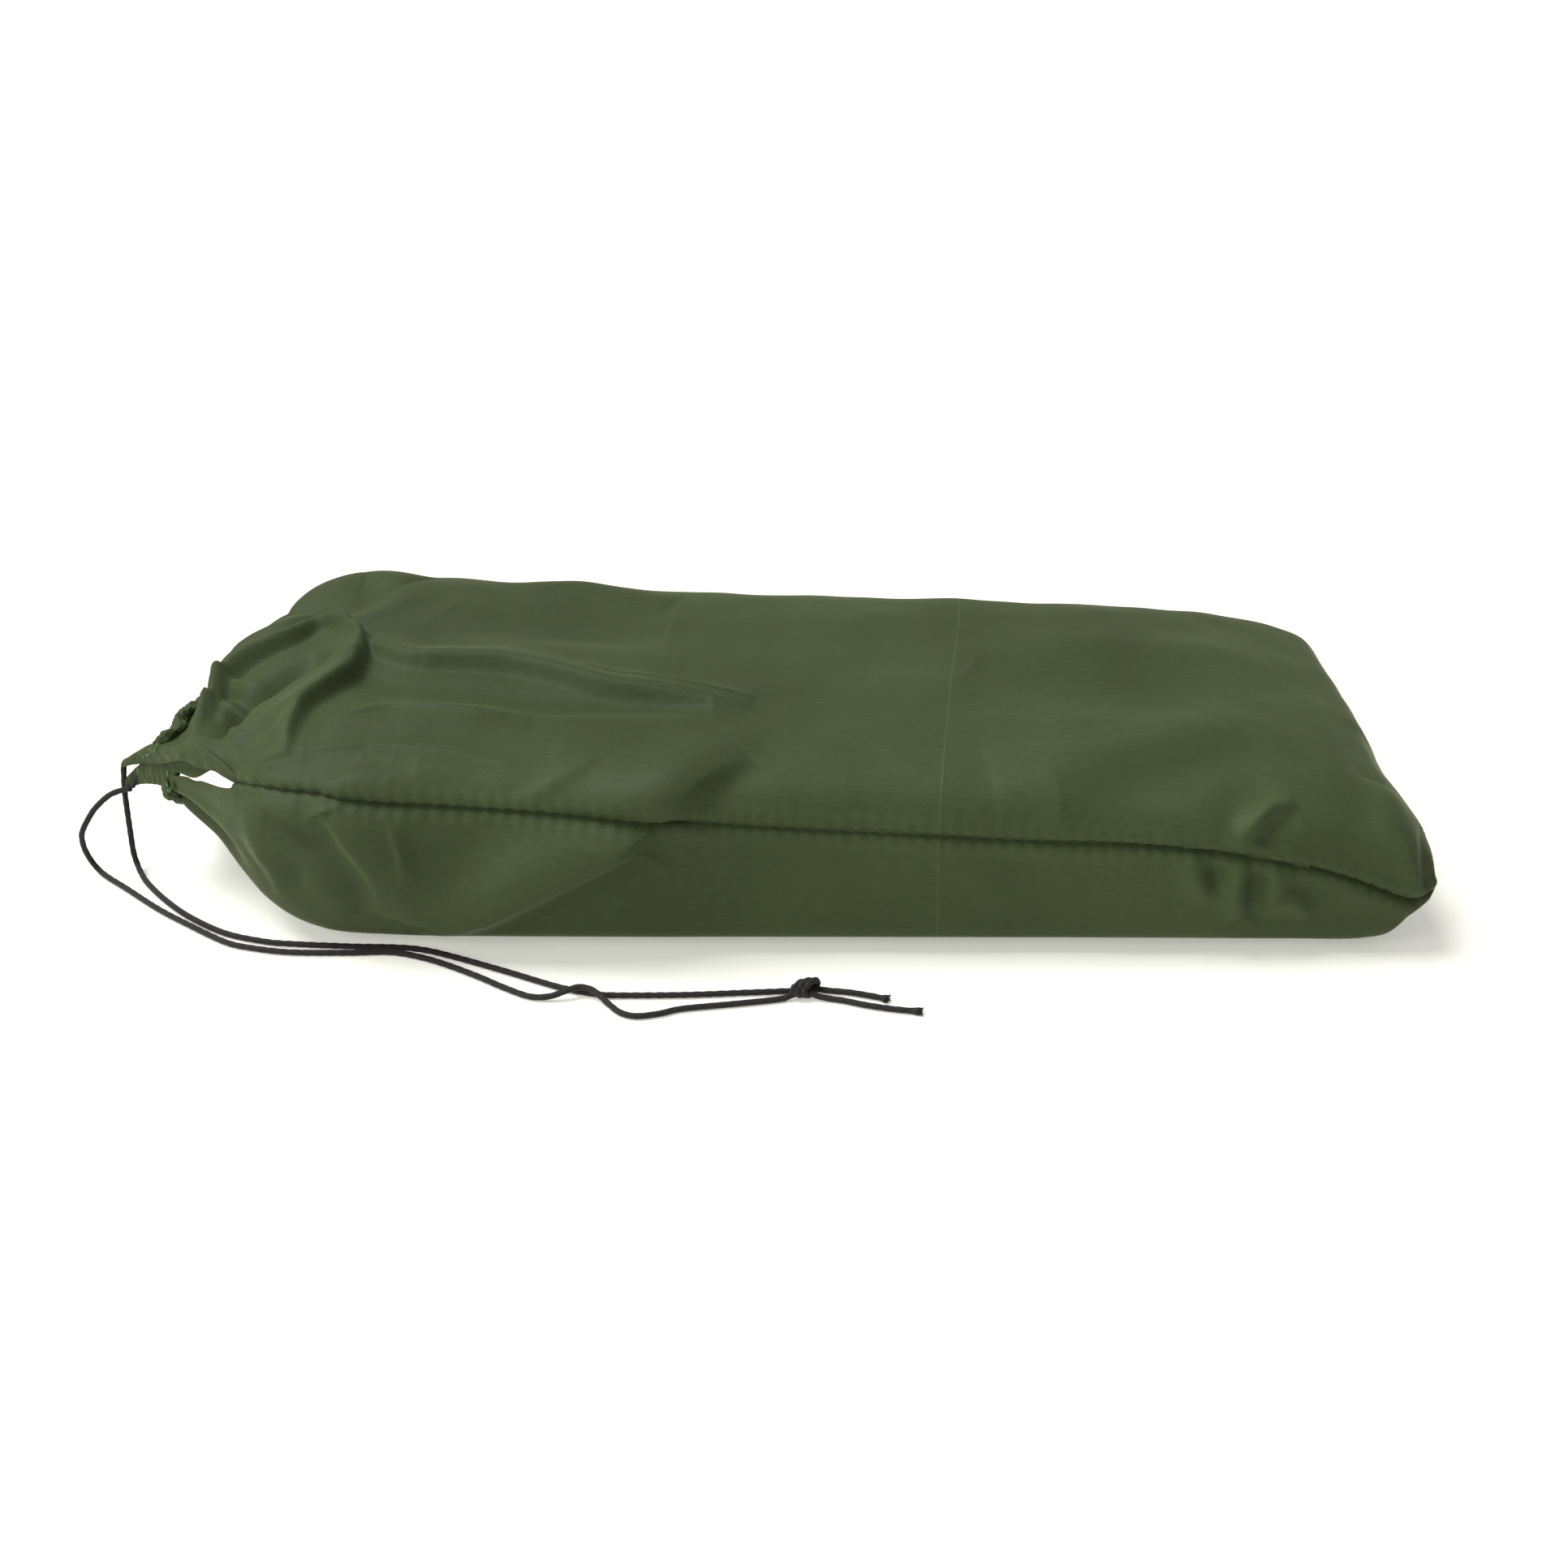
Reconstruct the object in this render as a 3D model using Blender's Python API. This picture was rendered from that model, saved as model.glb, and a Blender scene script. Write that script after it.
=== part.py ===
"""Bivy bag folded inside its drawstring storage sack. Metres, +Z up, mouth towards -X, seam side towards -Y."""
import math

import bmesh
import bpy
from mathutils import Matrix, Vector

# Overall sizes of the packed sack
SACK_LENGTH = 0.4585
SACK_WIDTH = 0.196
SACK_HEIGHT = 0.078

# Fabric, seams and slack
FABRIC = 0.0012
GAP = 0.0003
PACK_SLACK = 0.0024
ALLOWANCE_THICKNESS = 0.0009
ALLOWANCE_GAP = 0.0006
ALLOWANCE_HALF_TURN = 0.035
THREAD_RADIUS = 0.0003

# Drawcord and the hem tunnel it runs in
CORD_RADIUS = 0.00105
CASING_RADIUS = 0.0034
TUNNEL_RADIUS = 0.0016
CASING_REACH = 0.0212
LEAD_LENGTH = 0.0030
NEAR_LENGTH = 0.045
KNOT_RADIUS = 0.0046
KNOT_WRAP_RADIUS = 0.0021

# Folded bivy bag
FOLD_RUNS = 6
SHEET_GAP = 0.0007
HOOD_THICKNESS = 0.0045
HOOD_LENGTH = 0.150
HOOD_CORD_RADIUS = 0.0012

# Cord lock on the hood cord
BARREL_RADIUS = 0.0065
BARREL_LENGTH = 0.026
BARREL_END_WALL = 0.0025
CORD_HOLE_SET = 0.011
PLUNGER_RADIUS = 0.0043
PLUNGER_END_WALL = 0.0022
PLUNGER_TRAVEL = 0.004
BUTTON_STANDOFF = 0.002
HOOD_KNOT_RADIUS = 0.0032
HOOD_CORD_END = 0.0075
SPRING_RADIUS = 0.0028
SPRING_WIRE = 0.0004
SPRING_TURNS = 3
SPRING_STEPS = 10

# Mesh fineness
SECTION_POINTS = 36
PIPE_POINTS = 10
RUN_STEPS = 7
TURN_STEPS = 6
ACROSS_STEPS = 6

MOUTH_X = -(SACK_LENGTH - CASING_REACH) / 2

# Outline of the packed sack, mouth to bottom end. Each row: place along the length, then front and
# rear edge in sack widths, underside and top in sack heights, and how square the lower and upper halves are.
OUTLINE = [
    (0.000, -0.235, -0.040, 0.460, 0.730, 2.6, 2.6),
    (0.016, -0.265, 0.066, 0.420, 0.770, 2.6, 2.6),
    (0.043, -0.330, 0.285, 0.300, 0.850, 2.8, 2.8),
    (0.071, -0.408, 0.412, 0.160, 0.940, 3.4, 3.2),
    (0.104, -0.466, 0.480, 0.040, 0.990, 4.6, 3.9),
    (0.141, -0.492, 0.500, 0.000, 1.000, 6.0, 4.6),
    (0.195, -0.500, 0.500, 0.000, 1.000, 7.0, 5.0),
    (0.293, -0.500, 0.492, 0.000, 0.970, 7.5, 5.0),
    (0.479, -0.500, 0.480, 0.000, 0.930, 7.5, 5.0),
    (0.653, -0.500, 0.475, 0.000, 0.900, 7.5, 5.0),
    (0.784, -0.500, 0.478, 0.000, 0.860, 7.5, 5.0),
    (0.893, -0.500, 0.492, 0.000, 0.790, 7.5, 5.0),
    (0.948, -0.500, 0.500, 0.000, 0.715, 7.0, 4.8),
    (0.980, -0.496, 0.500, 0.030, 0.620, 4.6, 4.2),
    (1.000, -0.482, 0.485, 0.130, 0.490, 3.2, 3.2),
]

# Places along the length that the loft is cut at
LOFT_STEPS = [0.0, 0.02, 0.04, 0.06, 0.08, 0.1, 0.125, 0.15, 0.18, 0.22, 0.27, 0.34, 0.42, 0.5, 0.58,
              0.66, 0.73, 0.79, 0.84, 0.88, 0.915, 0.945, 0.965, 0.982, 1.0]

# Side seam: place along the length and height in sack heights
SEAM_LINE = [(0.050, 0.715), (0.085, 0.775), (0.130, 0.800), (0.195, 0.775), (0.293, 0.735), (0.479, 0.660),
             (0.653, 0.600), (0.860, 0.500), (0.930, 0.400), (0.975, 0.300)]
SEAM_START = 0.063
END_SEAM_REACH = 0.36

# Drawcord inside the hem, from the upper open end round the mouth to the lower open end:
# metres ahead of the mouth, then place across in sack widths and height in sack heights
CASING_ROUTE = [
    (-0.0185, -0.150, 0.566), (-0.0130, -0.180, 0.610), (-0.0070, -0.195, 0.650), (-0.0044, -0.172, 0.690),
    (-0.0042, -0.130, 0.708), (-0.0042, -0.090, 0.695), (-0.0042, -0.064, 0.655), (-0.0042, -0.056, 0.600),
    (-0.0042, -0.068, 0.545), (-0.0042, -0.100, 0.505), (-0.0044, -0.145, 0.488), (-0.0060, -0.178, 0.482),
    (-0.0110, -0.190, 0.474), (-0.0165, -0.186, 0.462),
]

# Drawcord outside: metres ahead of the mouth, place across in sack widths, height in sack heights
STRAND_A_ROUTE = [
    (-0.0249, -0.187, 0.431),
    (-0.0306, -0.191, 0.369), (-0.0334, -0.194, 0.319), (-0.0360, -0.196, 0.265),
    (-0.0373, -0.194, 0.218), (-0.0376, -0.189, 0.153), (-0.0367, -0.185, 0.097),
    (-0.0350, -0.184, 0.050), (-0.0325, -0.190, 0.018), (-0.0283, -0.212, 0.000),
    (-0.0192, -0.257, 0.000), (-0.0040, -0.333, 0.000), (0.0088, -0.389, 0.000),
    (0.0261, -0.457, 0.000), (0.0367, -0.480, 0.000), (0.0516, -0.496, 0.000),
    (0.0725, -0.498, 0.000), (0.0869, -0.496, 0.000), (0.0975, -0.511, 0.000),
    (0.1084, -0.540, 0.000), (0.1209, -0.582, 0.000), (0.1302, -0.618, 0.000),
    (0.1400, -0.649, 0.004), (0.1470, -0.654, 0.022), (0.1530, -0.648, 0.042),
    (0.1574, -0.640, 0.048), (0.1625, -0.648, 0.040), (0.1675, -0.674, 0.018),
    (0.1720, -0.702, 0.003), (0.1775, -0.714, 0.000), (0.1852, -0.706, 0.000),
    (0.1932, -0.690, 0.000), (0.2096, -0.675, 0.000), (0.2230, -0.662, 0.000),
    (0.2284, -0.655, 0.008),
]
STRAND_B_ROUTE = [
    (-0.0212, -0.141, 0.520), (-0.0212, -0.148, 0.475),
    (-0.0210, -0.158, 0.420), (-0.0209, -0.161, 0.330), (-0.0208, -0.163, 0.200),
    (-0.0204, -0.166, 0.095), (-0.0192, -0.174, 0.038), (-0.0164, -0.199, 0.006),
    (-0.0119, -0.238, 0.000), (-0.0026, -0.301, 0.000), (0.0095, -0.366, 0.000),
    (0.0250, -0.426, 0.000), (0.0400, -0.456, 0.000), (0.0507, -0.466, 0.000),
    (0.0720, -0.475, 0.000), (0.0880, -0.478, 0.000), (0.0990, -0.488, 0.000),
    (0.1113, -0.515, 0.000), (0.1295, -0.562, 0.000), (0.1430, -0.600, 0.000),
    (0.1508, -0.620, 0.000), (0.1600, -0.637, 0.000), (0.1685, -0.645, 0.000),
    (0.1929, -0.644, 0.000), (0.2151, -0.636, 0.000), (0.2311, -0.630, 0.000),
]
TAIL_A_ROUTE = [
    (0.2396, -0.629, 0.000), (0.2505, -0.635, 0.000), (0.2585, -0.648, 0.000),
    (0.2635, -0.658, 0.000),
]
TAIL_B_ROUTE = [
    (0.2396, -0.652, 0.000), (0.2485, -0.663, 0.000), (0.2565, -0.678, 0.000),
    (0.2655, -0.691, 0.000), (0.2745, -0.699, 0.000),
]
KNOT_PLACE = (0.2353, -0.641)


def clear_scene():
    for item in list(bpy.data.objects):
        bpy.data.objects.remove(item, do_unlink=True)


def material(name, colour, roughness, metallic=0.0):
    made = bpy.data.materials.new(name)
    made.use_nodes = True
    shader = made.node_tree.nodes["Principled BSDF"]
    shader.inputs["Base Color"].default_value = (*colour, 1.0)
    shader.inputs["Roughness"].default_value = roughness
    shader.inputs["Metallic"].default_value = metallic
    return made


def add_object(name, mesh, made):
    item = bpy.data.objects.new(name, mesh)
    bpy.context.scene.collection.objects.link(item)
    item.data.materials.append(made)
    return item


def finish_mesh(name, shape, made, smooth=True):
    """Turn a bmesh into a named object with outward faces and soft shading."""
    bmesh.ops.recalc_face_normals(shape, faces=shape.faces)
    mesh = bpy.data.meshes.new(name)
    shape.to_mesh(mesh)
    shape.free()
    item = add_object(name, mesh, made)
    if smooth:
        mesh.shade_smooth()
        mesh.set_sharp_from_angle(angle=math.radians(40))
    return item


def smooth_value(rows, place, column):
    """Value of one column at a place, eased smoothly between the rows."""
    last = len(rows) - 1
    index = 0
    while index < last - 1 and place > rows[index + 1][0]:
        index += 1
    before = rows[max(index - 1, 0)]
    start = rows[index]
    end = rows[index + 1]
    after = rows[min(index + 2, last)]
    span = end[0] - start[0]
    part = min(max((place - start[0]) / span, 0.0), 1.0)
    slope_start = (end[column] - before[column]) / (end[0] - before[0]) * span
    slope_end = (after[column] - start[column]) / (after[0] - start[0]) * span
    square = part * part
    cube = square * part
    return ((2 * cube - 3 * square + 1) * start[column] + (cube - 2 * square + part) * slope_start
            + (3 * square - 2 * cube) * end[column] + (cube - square) * slope_end)


def sack_section(place, inset):
    """Middle and half sizes of the sack's section, drawn in from the outside by inset."""
    front = smooth_value(OUTLINE, place, 1) * SACK_WIDTH
    rear = smooth_value(OUTLINE, place, 2) * SACK_WIDTH
    low = max(smooth_value(OUTLINE, place, 3), 0.0) * SACK_HEIGHT
    high = smooth_value(OUTLINE, place, 4) * SACK_HEIGHT
    return (front + rear) / 2, (low + high) / 2, (rear - front) / 2 - inset, (high - low) / 2 - inset


def sack_point(place, angle, inset=0.0):
    """Point on the sack's skin; angle 0 is the rear, 90 the top, 180 the front."""
    middle_y, middle_z, half_y, half_z = sack_section(place, inset)
    across = math.cos(angle)
    up = math.sin(angle)
    square = smooth_value(OUTLINE, place, 5 if up < 0 else 6)
    reach = (abs(across) ** square + abs(up) ** square) ** (-1.0 / square)
    length = MOUTH_X + place * SACK_LENGTH
    return Vector((length, middle_y + half_y * across * reach, middle_z + half_z * up * reach))


def front_angle(place, height):
    """Angle round the section at which the front side stands at a height."""
    low = math.pi * 0.5
    high = math.pi * 1.5
    for _ in range(40):
        middle = (low + high) / 2
        if sack_point(place, middle).z > height:
            low = middle
        else:
            high = middle
    return low


def add_loop(shape, points):
    """Closed loop of edges through the points."""
    verts = [shape.verts.new(point) for point in points]
    edges = [shape.edges.new((verts[i], verts[(i + 1) % len(verts)])) for i in range(len(verts))]
    return verts, edges


def bridge(shape, first, second):
    bmesh.ops.bridge_loops(shape, edges=first[1] + second[1])


def close_rim(shape, outer, inner):
    """Flat ring of faces between two matching loops."""
    count = len(outer[0])
    for i in range(count):
        follow = (i + 1) % count
        shape.faces.new((outer[0][i], outer[0][follow], inner[0][follow], inner[0][i]))


def section_loop(shape, place, inset, shift=0.0):
    points = []
    for i in range(SECTION_POINTS):
        point = sack_point(place, 2 * math.pi * i / SECTION_POINTS, inset)
        points.append(point + Vector((shift, 0.0, 0.0)))
    return add_loop(shape, points)


def build_sack_shell(made):
    """Hollow bag, open at the gathered mouth, closed at the far end."""
    shape = bmesh.new()
    outer = [section_loop(shape, place, 0.0) for place in LOFT_STEPS]
    inner = []
    for place in LOFT_STEPS:
        shift = -FABRIC if place == LOFT_STEPS[-1] else 0.0
        inner.append(section_loop(shape, place, FABRIC, shift))
    for skin in (outer, inner):
        for i in range(len(skin) - 1):
            bridge(shape, skin[i], skin[i + 1])
        shape.faces.new(skin[-1][0])
    close_rim(shape, outer[0], inner[0])
    return finish_mesh("sack_shell", shape, made)


def build_strip(name, centre, made):
    """Flat strip that follows the inside of the skin along a line of (place, angle)."""
    shape = bmesh.new()
    loops = []
    near = FABRIC + ALLOWANCE_GAP
    far = near + ALLOWANCE_THICKNESS
    for place, angle in centre:
        turns = [angle - ALLOWANCE_HALF_TURN, angle, angle + ALLOWANCE_HALF_TURN]
        points = [sack_point(place, turn, near) for turn in turns]
        points += [sack_point(place, turn, far) for turn in reversed(turns)]
        loops.append(add_loop(shape, points))
    for i in range(len(loops) - 1):
        bridge(shape, loops[i], loops[i + 1])
    shape.faces.new(loops[0][0])
    shape.faces.new(loops[-1][0])
    return finish_mesh(name, shape, made)


def seam_places(start, end, count):
    places = [start + (end - start) * i / (count - 1) for i in range(count)]
    return [(place, front_angle(place, smooth_value(SEAM_LINE, place, 1) * SACK_HEIGHT)) for place in places]


def build_front_seam_allowance(made):
    """Raw edges of the two fabric halves, turned in behind the front seam."""
    centre = seam_places(SEAM_START + 0.06, 0.90, 20)
    return build_strip("front_seam_allowance", centre, made)


def build_end_seam_allowance(made):
    """Raw edges behind the bottom seam, standing across the closed end."""
    reach = SACK_WIDTH * END_SEAM_REACH
    far = MOUTH_X + SACK_LENGTH - FABRIC - ALLOWANCE_GAP
    low = 0.27 * SACK_HEIGHT
    high = 0.39 * SACK_HEIGHT
    shape = bmesh.new()
    bmesh.ops.create_cube(shape, size=1.0)
    bmesh.ops.scale(shape, vec=(ALLOWANCE_THICKNESS, 2 * reach, high - low), verts=shape.verts)
    bmesh.ops.translate(shape, vec=(far - ALLOWANCE_THICKNESS / 2, 0.0, (low + high) / 2), verts=shape.verts)
    return finish_mesh("end_seam_allowance", shape, made, smooth=False)


def smooth_line(points):
    """Closely spaced points along a smooth curve through the hand-placed points, with the length so far."""
    fine = []
    last = len(points) - 1
    for i in range(last):
        before = points[max(i - 1, 0)]
        start = points[i]
        end = points[i + 1]
        after = points[min(i + 2, last)]
        for k in range(12):
            t = k / 12
            fine.append(0.5 * (2 * start + (end - before) * t + (2 * before - 5 * start + 4 * end - after) * t * t
                               + (3 * start - before - 3 * end + after) * t ** 3))
    fine.append(points[last])
    lengths = [0.0]
    for i in range(1, len(fine)):
        lengths.append(lengths[-1] + (fine[i] - fine[i - 1]).length)
    return fine, lengths


def curve_path(points, steps, near_steps=0):
    """Points along the smooth curve, evenly spaced; near_steps of them share the first NEAR_LENGTH."""
    fine, lengths = smooth_line(points)
    whole = lengths[-1]
    near = NEAR_LENGTH if near_steps else 0.0
    wanted_lengths = [near * k / near_steps for k in range(near_steps)]
    wanted_lengths += [near + (whole - near) * k / steps for k in range(steps + 1)]
    even = []
    index = 0
    for wanted in wanted_lengths:
        while index < len(fine) - 2 and lengths[index + 1] < wanted:
            index += 1
        span = lengths[index + 1] - lengths[index]
        even.append(fine[index].lerp(fine[index + 1], (wanted - lengths[index]) / span))
    return even


def pipe(name, points, radius, made, fineness):
    """Round solid along a line of points, a bevelled curve with filled ends."""
    data = bpy.data.curves.new(name, "CURVE")
    data.dimensions = "3D"
    data.bevel_depth = radius
    data.bevel_resolution = fineness
    data.use_fill_caps = True
    spline = data.splines.new("POLY")
    spline.points.add(len(points) - 1)
    for target, point in zip(spline.points, points):
        target.co = (*point, 1.0)
    item = bpy.data.objects.new(name, data)
    bpy.context.scene.collection.objects.link(item)
    data.materials.append(made)
    return item


def placed(route, radius):
    """Route rows as points in space, resting on the surface where the height is nought."""
    points = []
    for ahead, across, height in route:
        points.append(Vector((MOUTH_X + ahead, across * SACK_WIDTH, max(radius, height * SACK_HEIGHT))))
    return points


def build_front_seam_thread(made):
    """Thread of the side seam, laid along the outside of the skin."""
    centre = seam_places(SEAM_START + 0.01, 0.95, 40)
    points = [sack_point(place, angle, -GAP - THREAD_RADIUS * 2) for place, angle in centre]
    return pipe("front_seam_thread", points, THREAD_RADIUS, made, 0)


def ring_loop(shape, centre, frame, radius):
    """Circle of vertices round a point, in the plane across the path."""
    placing = Matrix.Translation(centre) @ frame
    made = bmesh.ops.create_circle(shape, segments=PIPE_POINTS, radius=radius, matrix=placing)
    edges = [edge for edge in shape.edges if edge.verts[0] in made["verts"] and edge.verts[1] in made["verts"]]
    return made["verts"], edges


def build_mouth_casing(made):
    """Hem tunnel gathered round the mouth, with both ends open at the slit."""
    path = curve_path(placed(CASING_ROUTE, 0.0), 40)
    shape = bmesh.new()
    walls = []
    for radius in (CASING_RADIUS, TUNNEL_RADIUS):
        loops = []
        for i, point in enumerate(path):
            along = path[min(i + 1, len(path) - 1)] - path[max(i - 1, 0)]
            frame = along.to_track_quat("Z", "Y").to_matrix().to_4x4()
            loops.append(ring_loop(shape, point, frame, radius))
        for i in range(len(loops) - 1):
            bridge(shape, loops[i], loops[i + 1])
        walls.append(loops)
    for end in (0, -1):
        close_rim(shape, walls[0][end], walls[1][end])
    return finish_mesh("mouth_casing", shape, made)


def build_casing_thread(made):
    """Hem stitching along the outside of the casing, on its mouth side."""
    path = curve_path(placed(CASING_ROUTE[3:-3], 0.0), 24)
    shift = Vector((-CASING_RADIUS - THREAD_RADIUS - GAP, 0.0, 0.0))
    return pipe("casing_thread", [point + shift for point in path], THREAD_RADIUS, made, 0)


def build_drawcord(made):
    """Hidden middle of the drawcord, the two strands outside, and the two tails past the knot."""
    inside = curve_path(placed(CASING_ROUTE, 0.0), 24)
    pipe("drawcord_in_casing", inside, CORD_RADIUS, made, 1)
    strand_a = lead_out(inside[-1], inside[-2]) + placed(STRAND_A_ROUTE, CORD_RADIUS)
    strand_b = lead_out(inside[0], inside[1]) + placed(STRAND_B_ROUTE, CORD_RADIUS)
    pipe("drawcord_strand_a", curve_path(strand_a, 32, 12), CORD_RADIUS, made, 2)
    pipe("drawcord_strand_b", curve_path(strand_b, 22, 12), CORD_RADIUS, made, 2)
    pipe("drawcord_tail_a", curve_path(placed(TAIL_A_ROUTE, CORD_RADIUS), 4), CORD_RADIUS, made, 2)
    pipe("drawcord_tail_b", curve_path(placed(TAIL_B_ROUTE, CORD_RADIUS), 5), CORD_RADIUS, made, 2)


def lead_out(end, before):
    """First points of a strand, straight out of the hem in line with the cord inside it."""
    along = (end - before).normalized()
    return [end + along * GAP, end + along * LEAD_LENGTH]


def build_knot(made):
    """Overhand knot in the doubled cord, as one rounded lump."""
    ahead, across = KNOT_PLACE
    shape = bmesh.new()
    bmesh.ops.create_icosphere(shape, subdivisions=2, radius=1.0)
    size = (KNOT_RADIUS, KNOT_RADIUS * 0.95, KNOT_WRAP_RADIUS)
    bmesh.ops.scale(shape, vec=size, verts=shape.verts)
    place = (MOUTH_X + ahead, across * SACK_WIDTH, KNOT_WRAP_RADIUS)
    bmesh.ops.translate(shape, vec=place, verts=shape.verts)
    return finish_mesh("drawcord_knot", shape, made)


# Room the folded bivy bag takes inside the sack, as places along the length
STACK_START = 0.155
STACK_END = 0.935
STACK_TOP = 0.80


def stack_point(length, across, height):
    """Box coordinates of the folded stack mapped into the pillow shape of the sack."""
    place = (length - MOUTH_X) / SACK_LENGTH
    middle_y, middle_z, half_y, half_z = sack_section(place, FABRIC + PACK_SLACK)
    round_across = math.sqrt(1.0 - 0.30 * height * height)
    round_height = math.sqrt(1.0 - 0.30 * across * across)
    return Vector((length, middle_y + half_y * across * round_across, middle_z + half_z * height * round_height))


def fold_line():
    """Middle line of the zigzag fold: (length, height, across direction) in box coordinates."""
    pitch = (STACK_TOP + 1.0) / FOLD_RUNS
    left = MOUTH_X + STACK_START * SACK_LENGTH
    right = MOUTH_X + STACK_END * SACK_LENGTH
    turn = pitch * SACK_HEIGHT * 0.5
    line = []
    for run in range(FOLD_RUNS):
        forward = run % 2 == 0
        height = -1.0 + pitch * (run + 0.5)
        start = left + turn if forward else right - turn
        end = right - turn if forward else left + turn
        side = 1.0 if forward else -1.0
        for k in range(RUN_STEPS + 1):
            line.append((start + (end - start) * k / RUN_STEPS, height, 0.0, side))
        if run == FOLD_RUNS - 1:
            continue
        for k in range(1, TURN_STEPS):
            swing = math.pi * k / TURN_STEPS
            out = math.sin(swing) * side
            rise = side * math.cos(swing)
            line.append((end + out * turn * 0.5, height + pitch * (1 - math.cos(swing)) / 2, -out, rise))
    return line, pitch


def build_folded_sheet(name, first, last, made):
    """One sheet of the bivy bag, folded to and fro between two offsets from the fold's middle line."""
    line, pitch = fold_line()
    steps = ACROSS_STEPS
    shape = bmesh.new()
    grid = []
    for offset in (first, last):
        rows = []
        for length, height, lean, rise in line:
            reach = offset * pitch / 2
            flat = reach * SACK_HEIGHT / 2
            rows.append((length + lean * flat, height + rise * reach))
        grid.append(rows)
    columns = []
    for k in range(steps + 1):
        across = -1.0 + 2.0 * k / steps
        columns.append([[shape.verts.new(stack_point(x, across, z)) for x, z in rows] for rows in grid])
    last_row = len(line) - 1
    for k in range(steps):
        for i in range(last_row):
            for side in (0, 1):
                near = columns[k][side]
                far = columns[k + 1][side]
                shape.faces.new((near[i], near[i + 1], far[i + 1], far[i]))
        for i in (0, last_row):
            near = columns[k]
            far = columns[k + 1]
            shape.faces.new((near[0][i], near[1][i], far[1][i], far[0][i]))
    for column in (columns[0], columns[steps]):
        for i in range(last_row):
            shape.faces.new((column[0][i], column[0][i + 1], column[1][i + 1], column[1][i]))
    return finish_mesh(name, shape, made)


def build_hood(made):
    """Hood panel, folded back flat over the stack at the mouth end."""
    left = MOUTH_X + STACK_START * SACK_LENGTH
    low = STACK_TOP + 0.05
    high = low + HOOD_THICKNESS / (SACK_HEIGHT / 2)
    shape = bmesh.new()
    bmesh.ops.create_cube(shape, size=1.0)
    edges = [edge for edge in shape.edges if abs(edge.verts[0].co.z - edge.verts[1].co.z) < 0.1]
    bmesh.ops.subdivide_edges(shape, edges=edges, cuts=6, use_grid_fill=True)
    for vert in shape.verts:
        length = left + (vert.co.x + 0.5) * HOOD_LENGTH
        vert.co = stack_point(length, vert.co.y * 2.0 * 0.93, low + (vert.co.z + 0.5) * (high - low))
    return finish_mesh("bivy_hood", shape, made)


# The cord lock lies in the neck, its cord running along X from the stack
LOCK_X = MOUTH_X + 0.098 * SACK_LENGTH
LOCK_Y = -0.03 * SACK_WIDTH
LOCK_Z = 0.55 * SACK_HEIGHT
BORE_RADIUS = PLUNGER_RADIUS + GAP
HOLE_RADIUS = HOOD_CORD_RADIUS + GAP
BARREL_FRONT = LOCK_Y - CORD_HOLE_SET
BARREL_BASE = BARREL_FRONT + BARREL_LENGTH
BORE_END = BARREL_BASE - BARREL_END_WALL
PLUNGER_TIP = BARREL_FRONT - PLUNGER_TRAVEL - BUTTON_STANDOFF
PLUNGER_END = LOCK_Y + HOLE_RADIUS + PLUNGER_END_WALL
SPRING_START = PLUNGER_END + GAP


def cylinder(shape, radius, start, end, axis, segments=24):
    """Closed cylinder between two points along an axis letter."""
    turn = Matrix.Rotation(math.pi / 2, 4, "X") if axis == "Y" else Matrix.Rotation(math.pi / 2, 4, "Y")
    middle = (Vector(start) + Vector(end)) / 2
    depth = (Vector(end) - Vector(start)).length
    bmesh.ops.create_cone(shape, cap_ends=True, segments=segments, radius1=radius, radius2=radius, depth=depth,
                          matrix=Matrix.Translation(middle) @ turn)


def cut(target, name, cutters):
    """Take solid cutters away from a piece."""
    for index, shape in enumerate(cutters):
        mesh = bpy.data.meshes.new(f"{name}_cutter_{index}")
        shape.to_mesh(mesh)
        shape.free()
        cutter = bpy.data.objects.new(f"{name}_cutter_{index}", mesh)
        bpy.context.scene.collection.objects.link(cutter)
        cutter.hide_render = True
        cutter.display_type = "WIRE"
        step = target.modifiers.new(f"cut_{index}", "BOOLEAN")
        step.operation = "DIFFERENCE"
        step.solver = "EXACT"
        step.object = cutter
    return target


def lock_cutter(radius, start_y, end_y):
    shape = bmesh.new()
    cylinder(shape, radius, (LOCK_X, start_y, LOCK_Z), (LOCK_X, end_y, LOCK_Z), "Y")
    return shape


def cord_cutter(before):
    """Hole for the cord, longer towards the button end where the plunger travels."""
    shape = bmesh.new()
    reach = BARREL_RADIUS + 0.002
    low = LOCK_Y - HOLE_RADIUS - before
    high = LOCK_Y + HOLE_RADIUS
    bmesh.ops.create_cube(shape, size=1.0)
    bmesh.ops.scale(shape, vec=(2 * reach, high - low, 2 * HOLE_RADIUS), verts=shape.verts)
    bmesh.ops.translate(shape, vec=(LOCK_X, (low + high) / 2, LOCK_Z), verts=shape.verts)
    return shape


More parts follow.
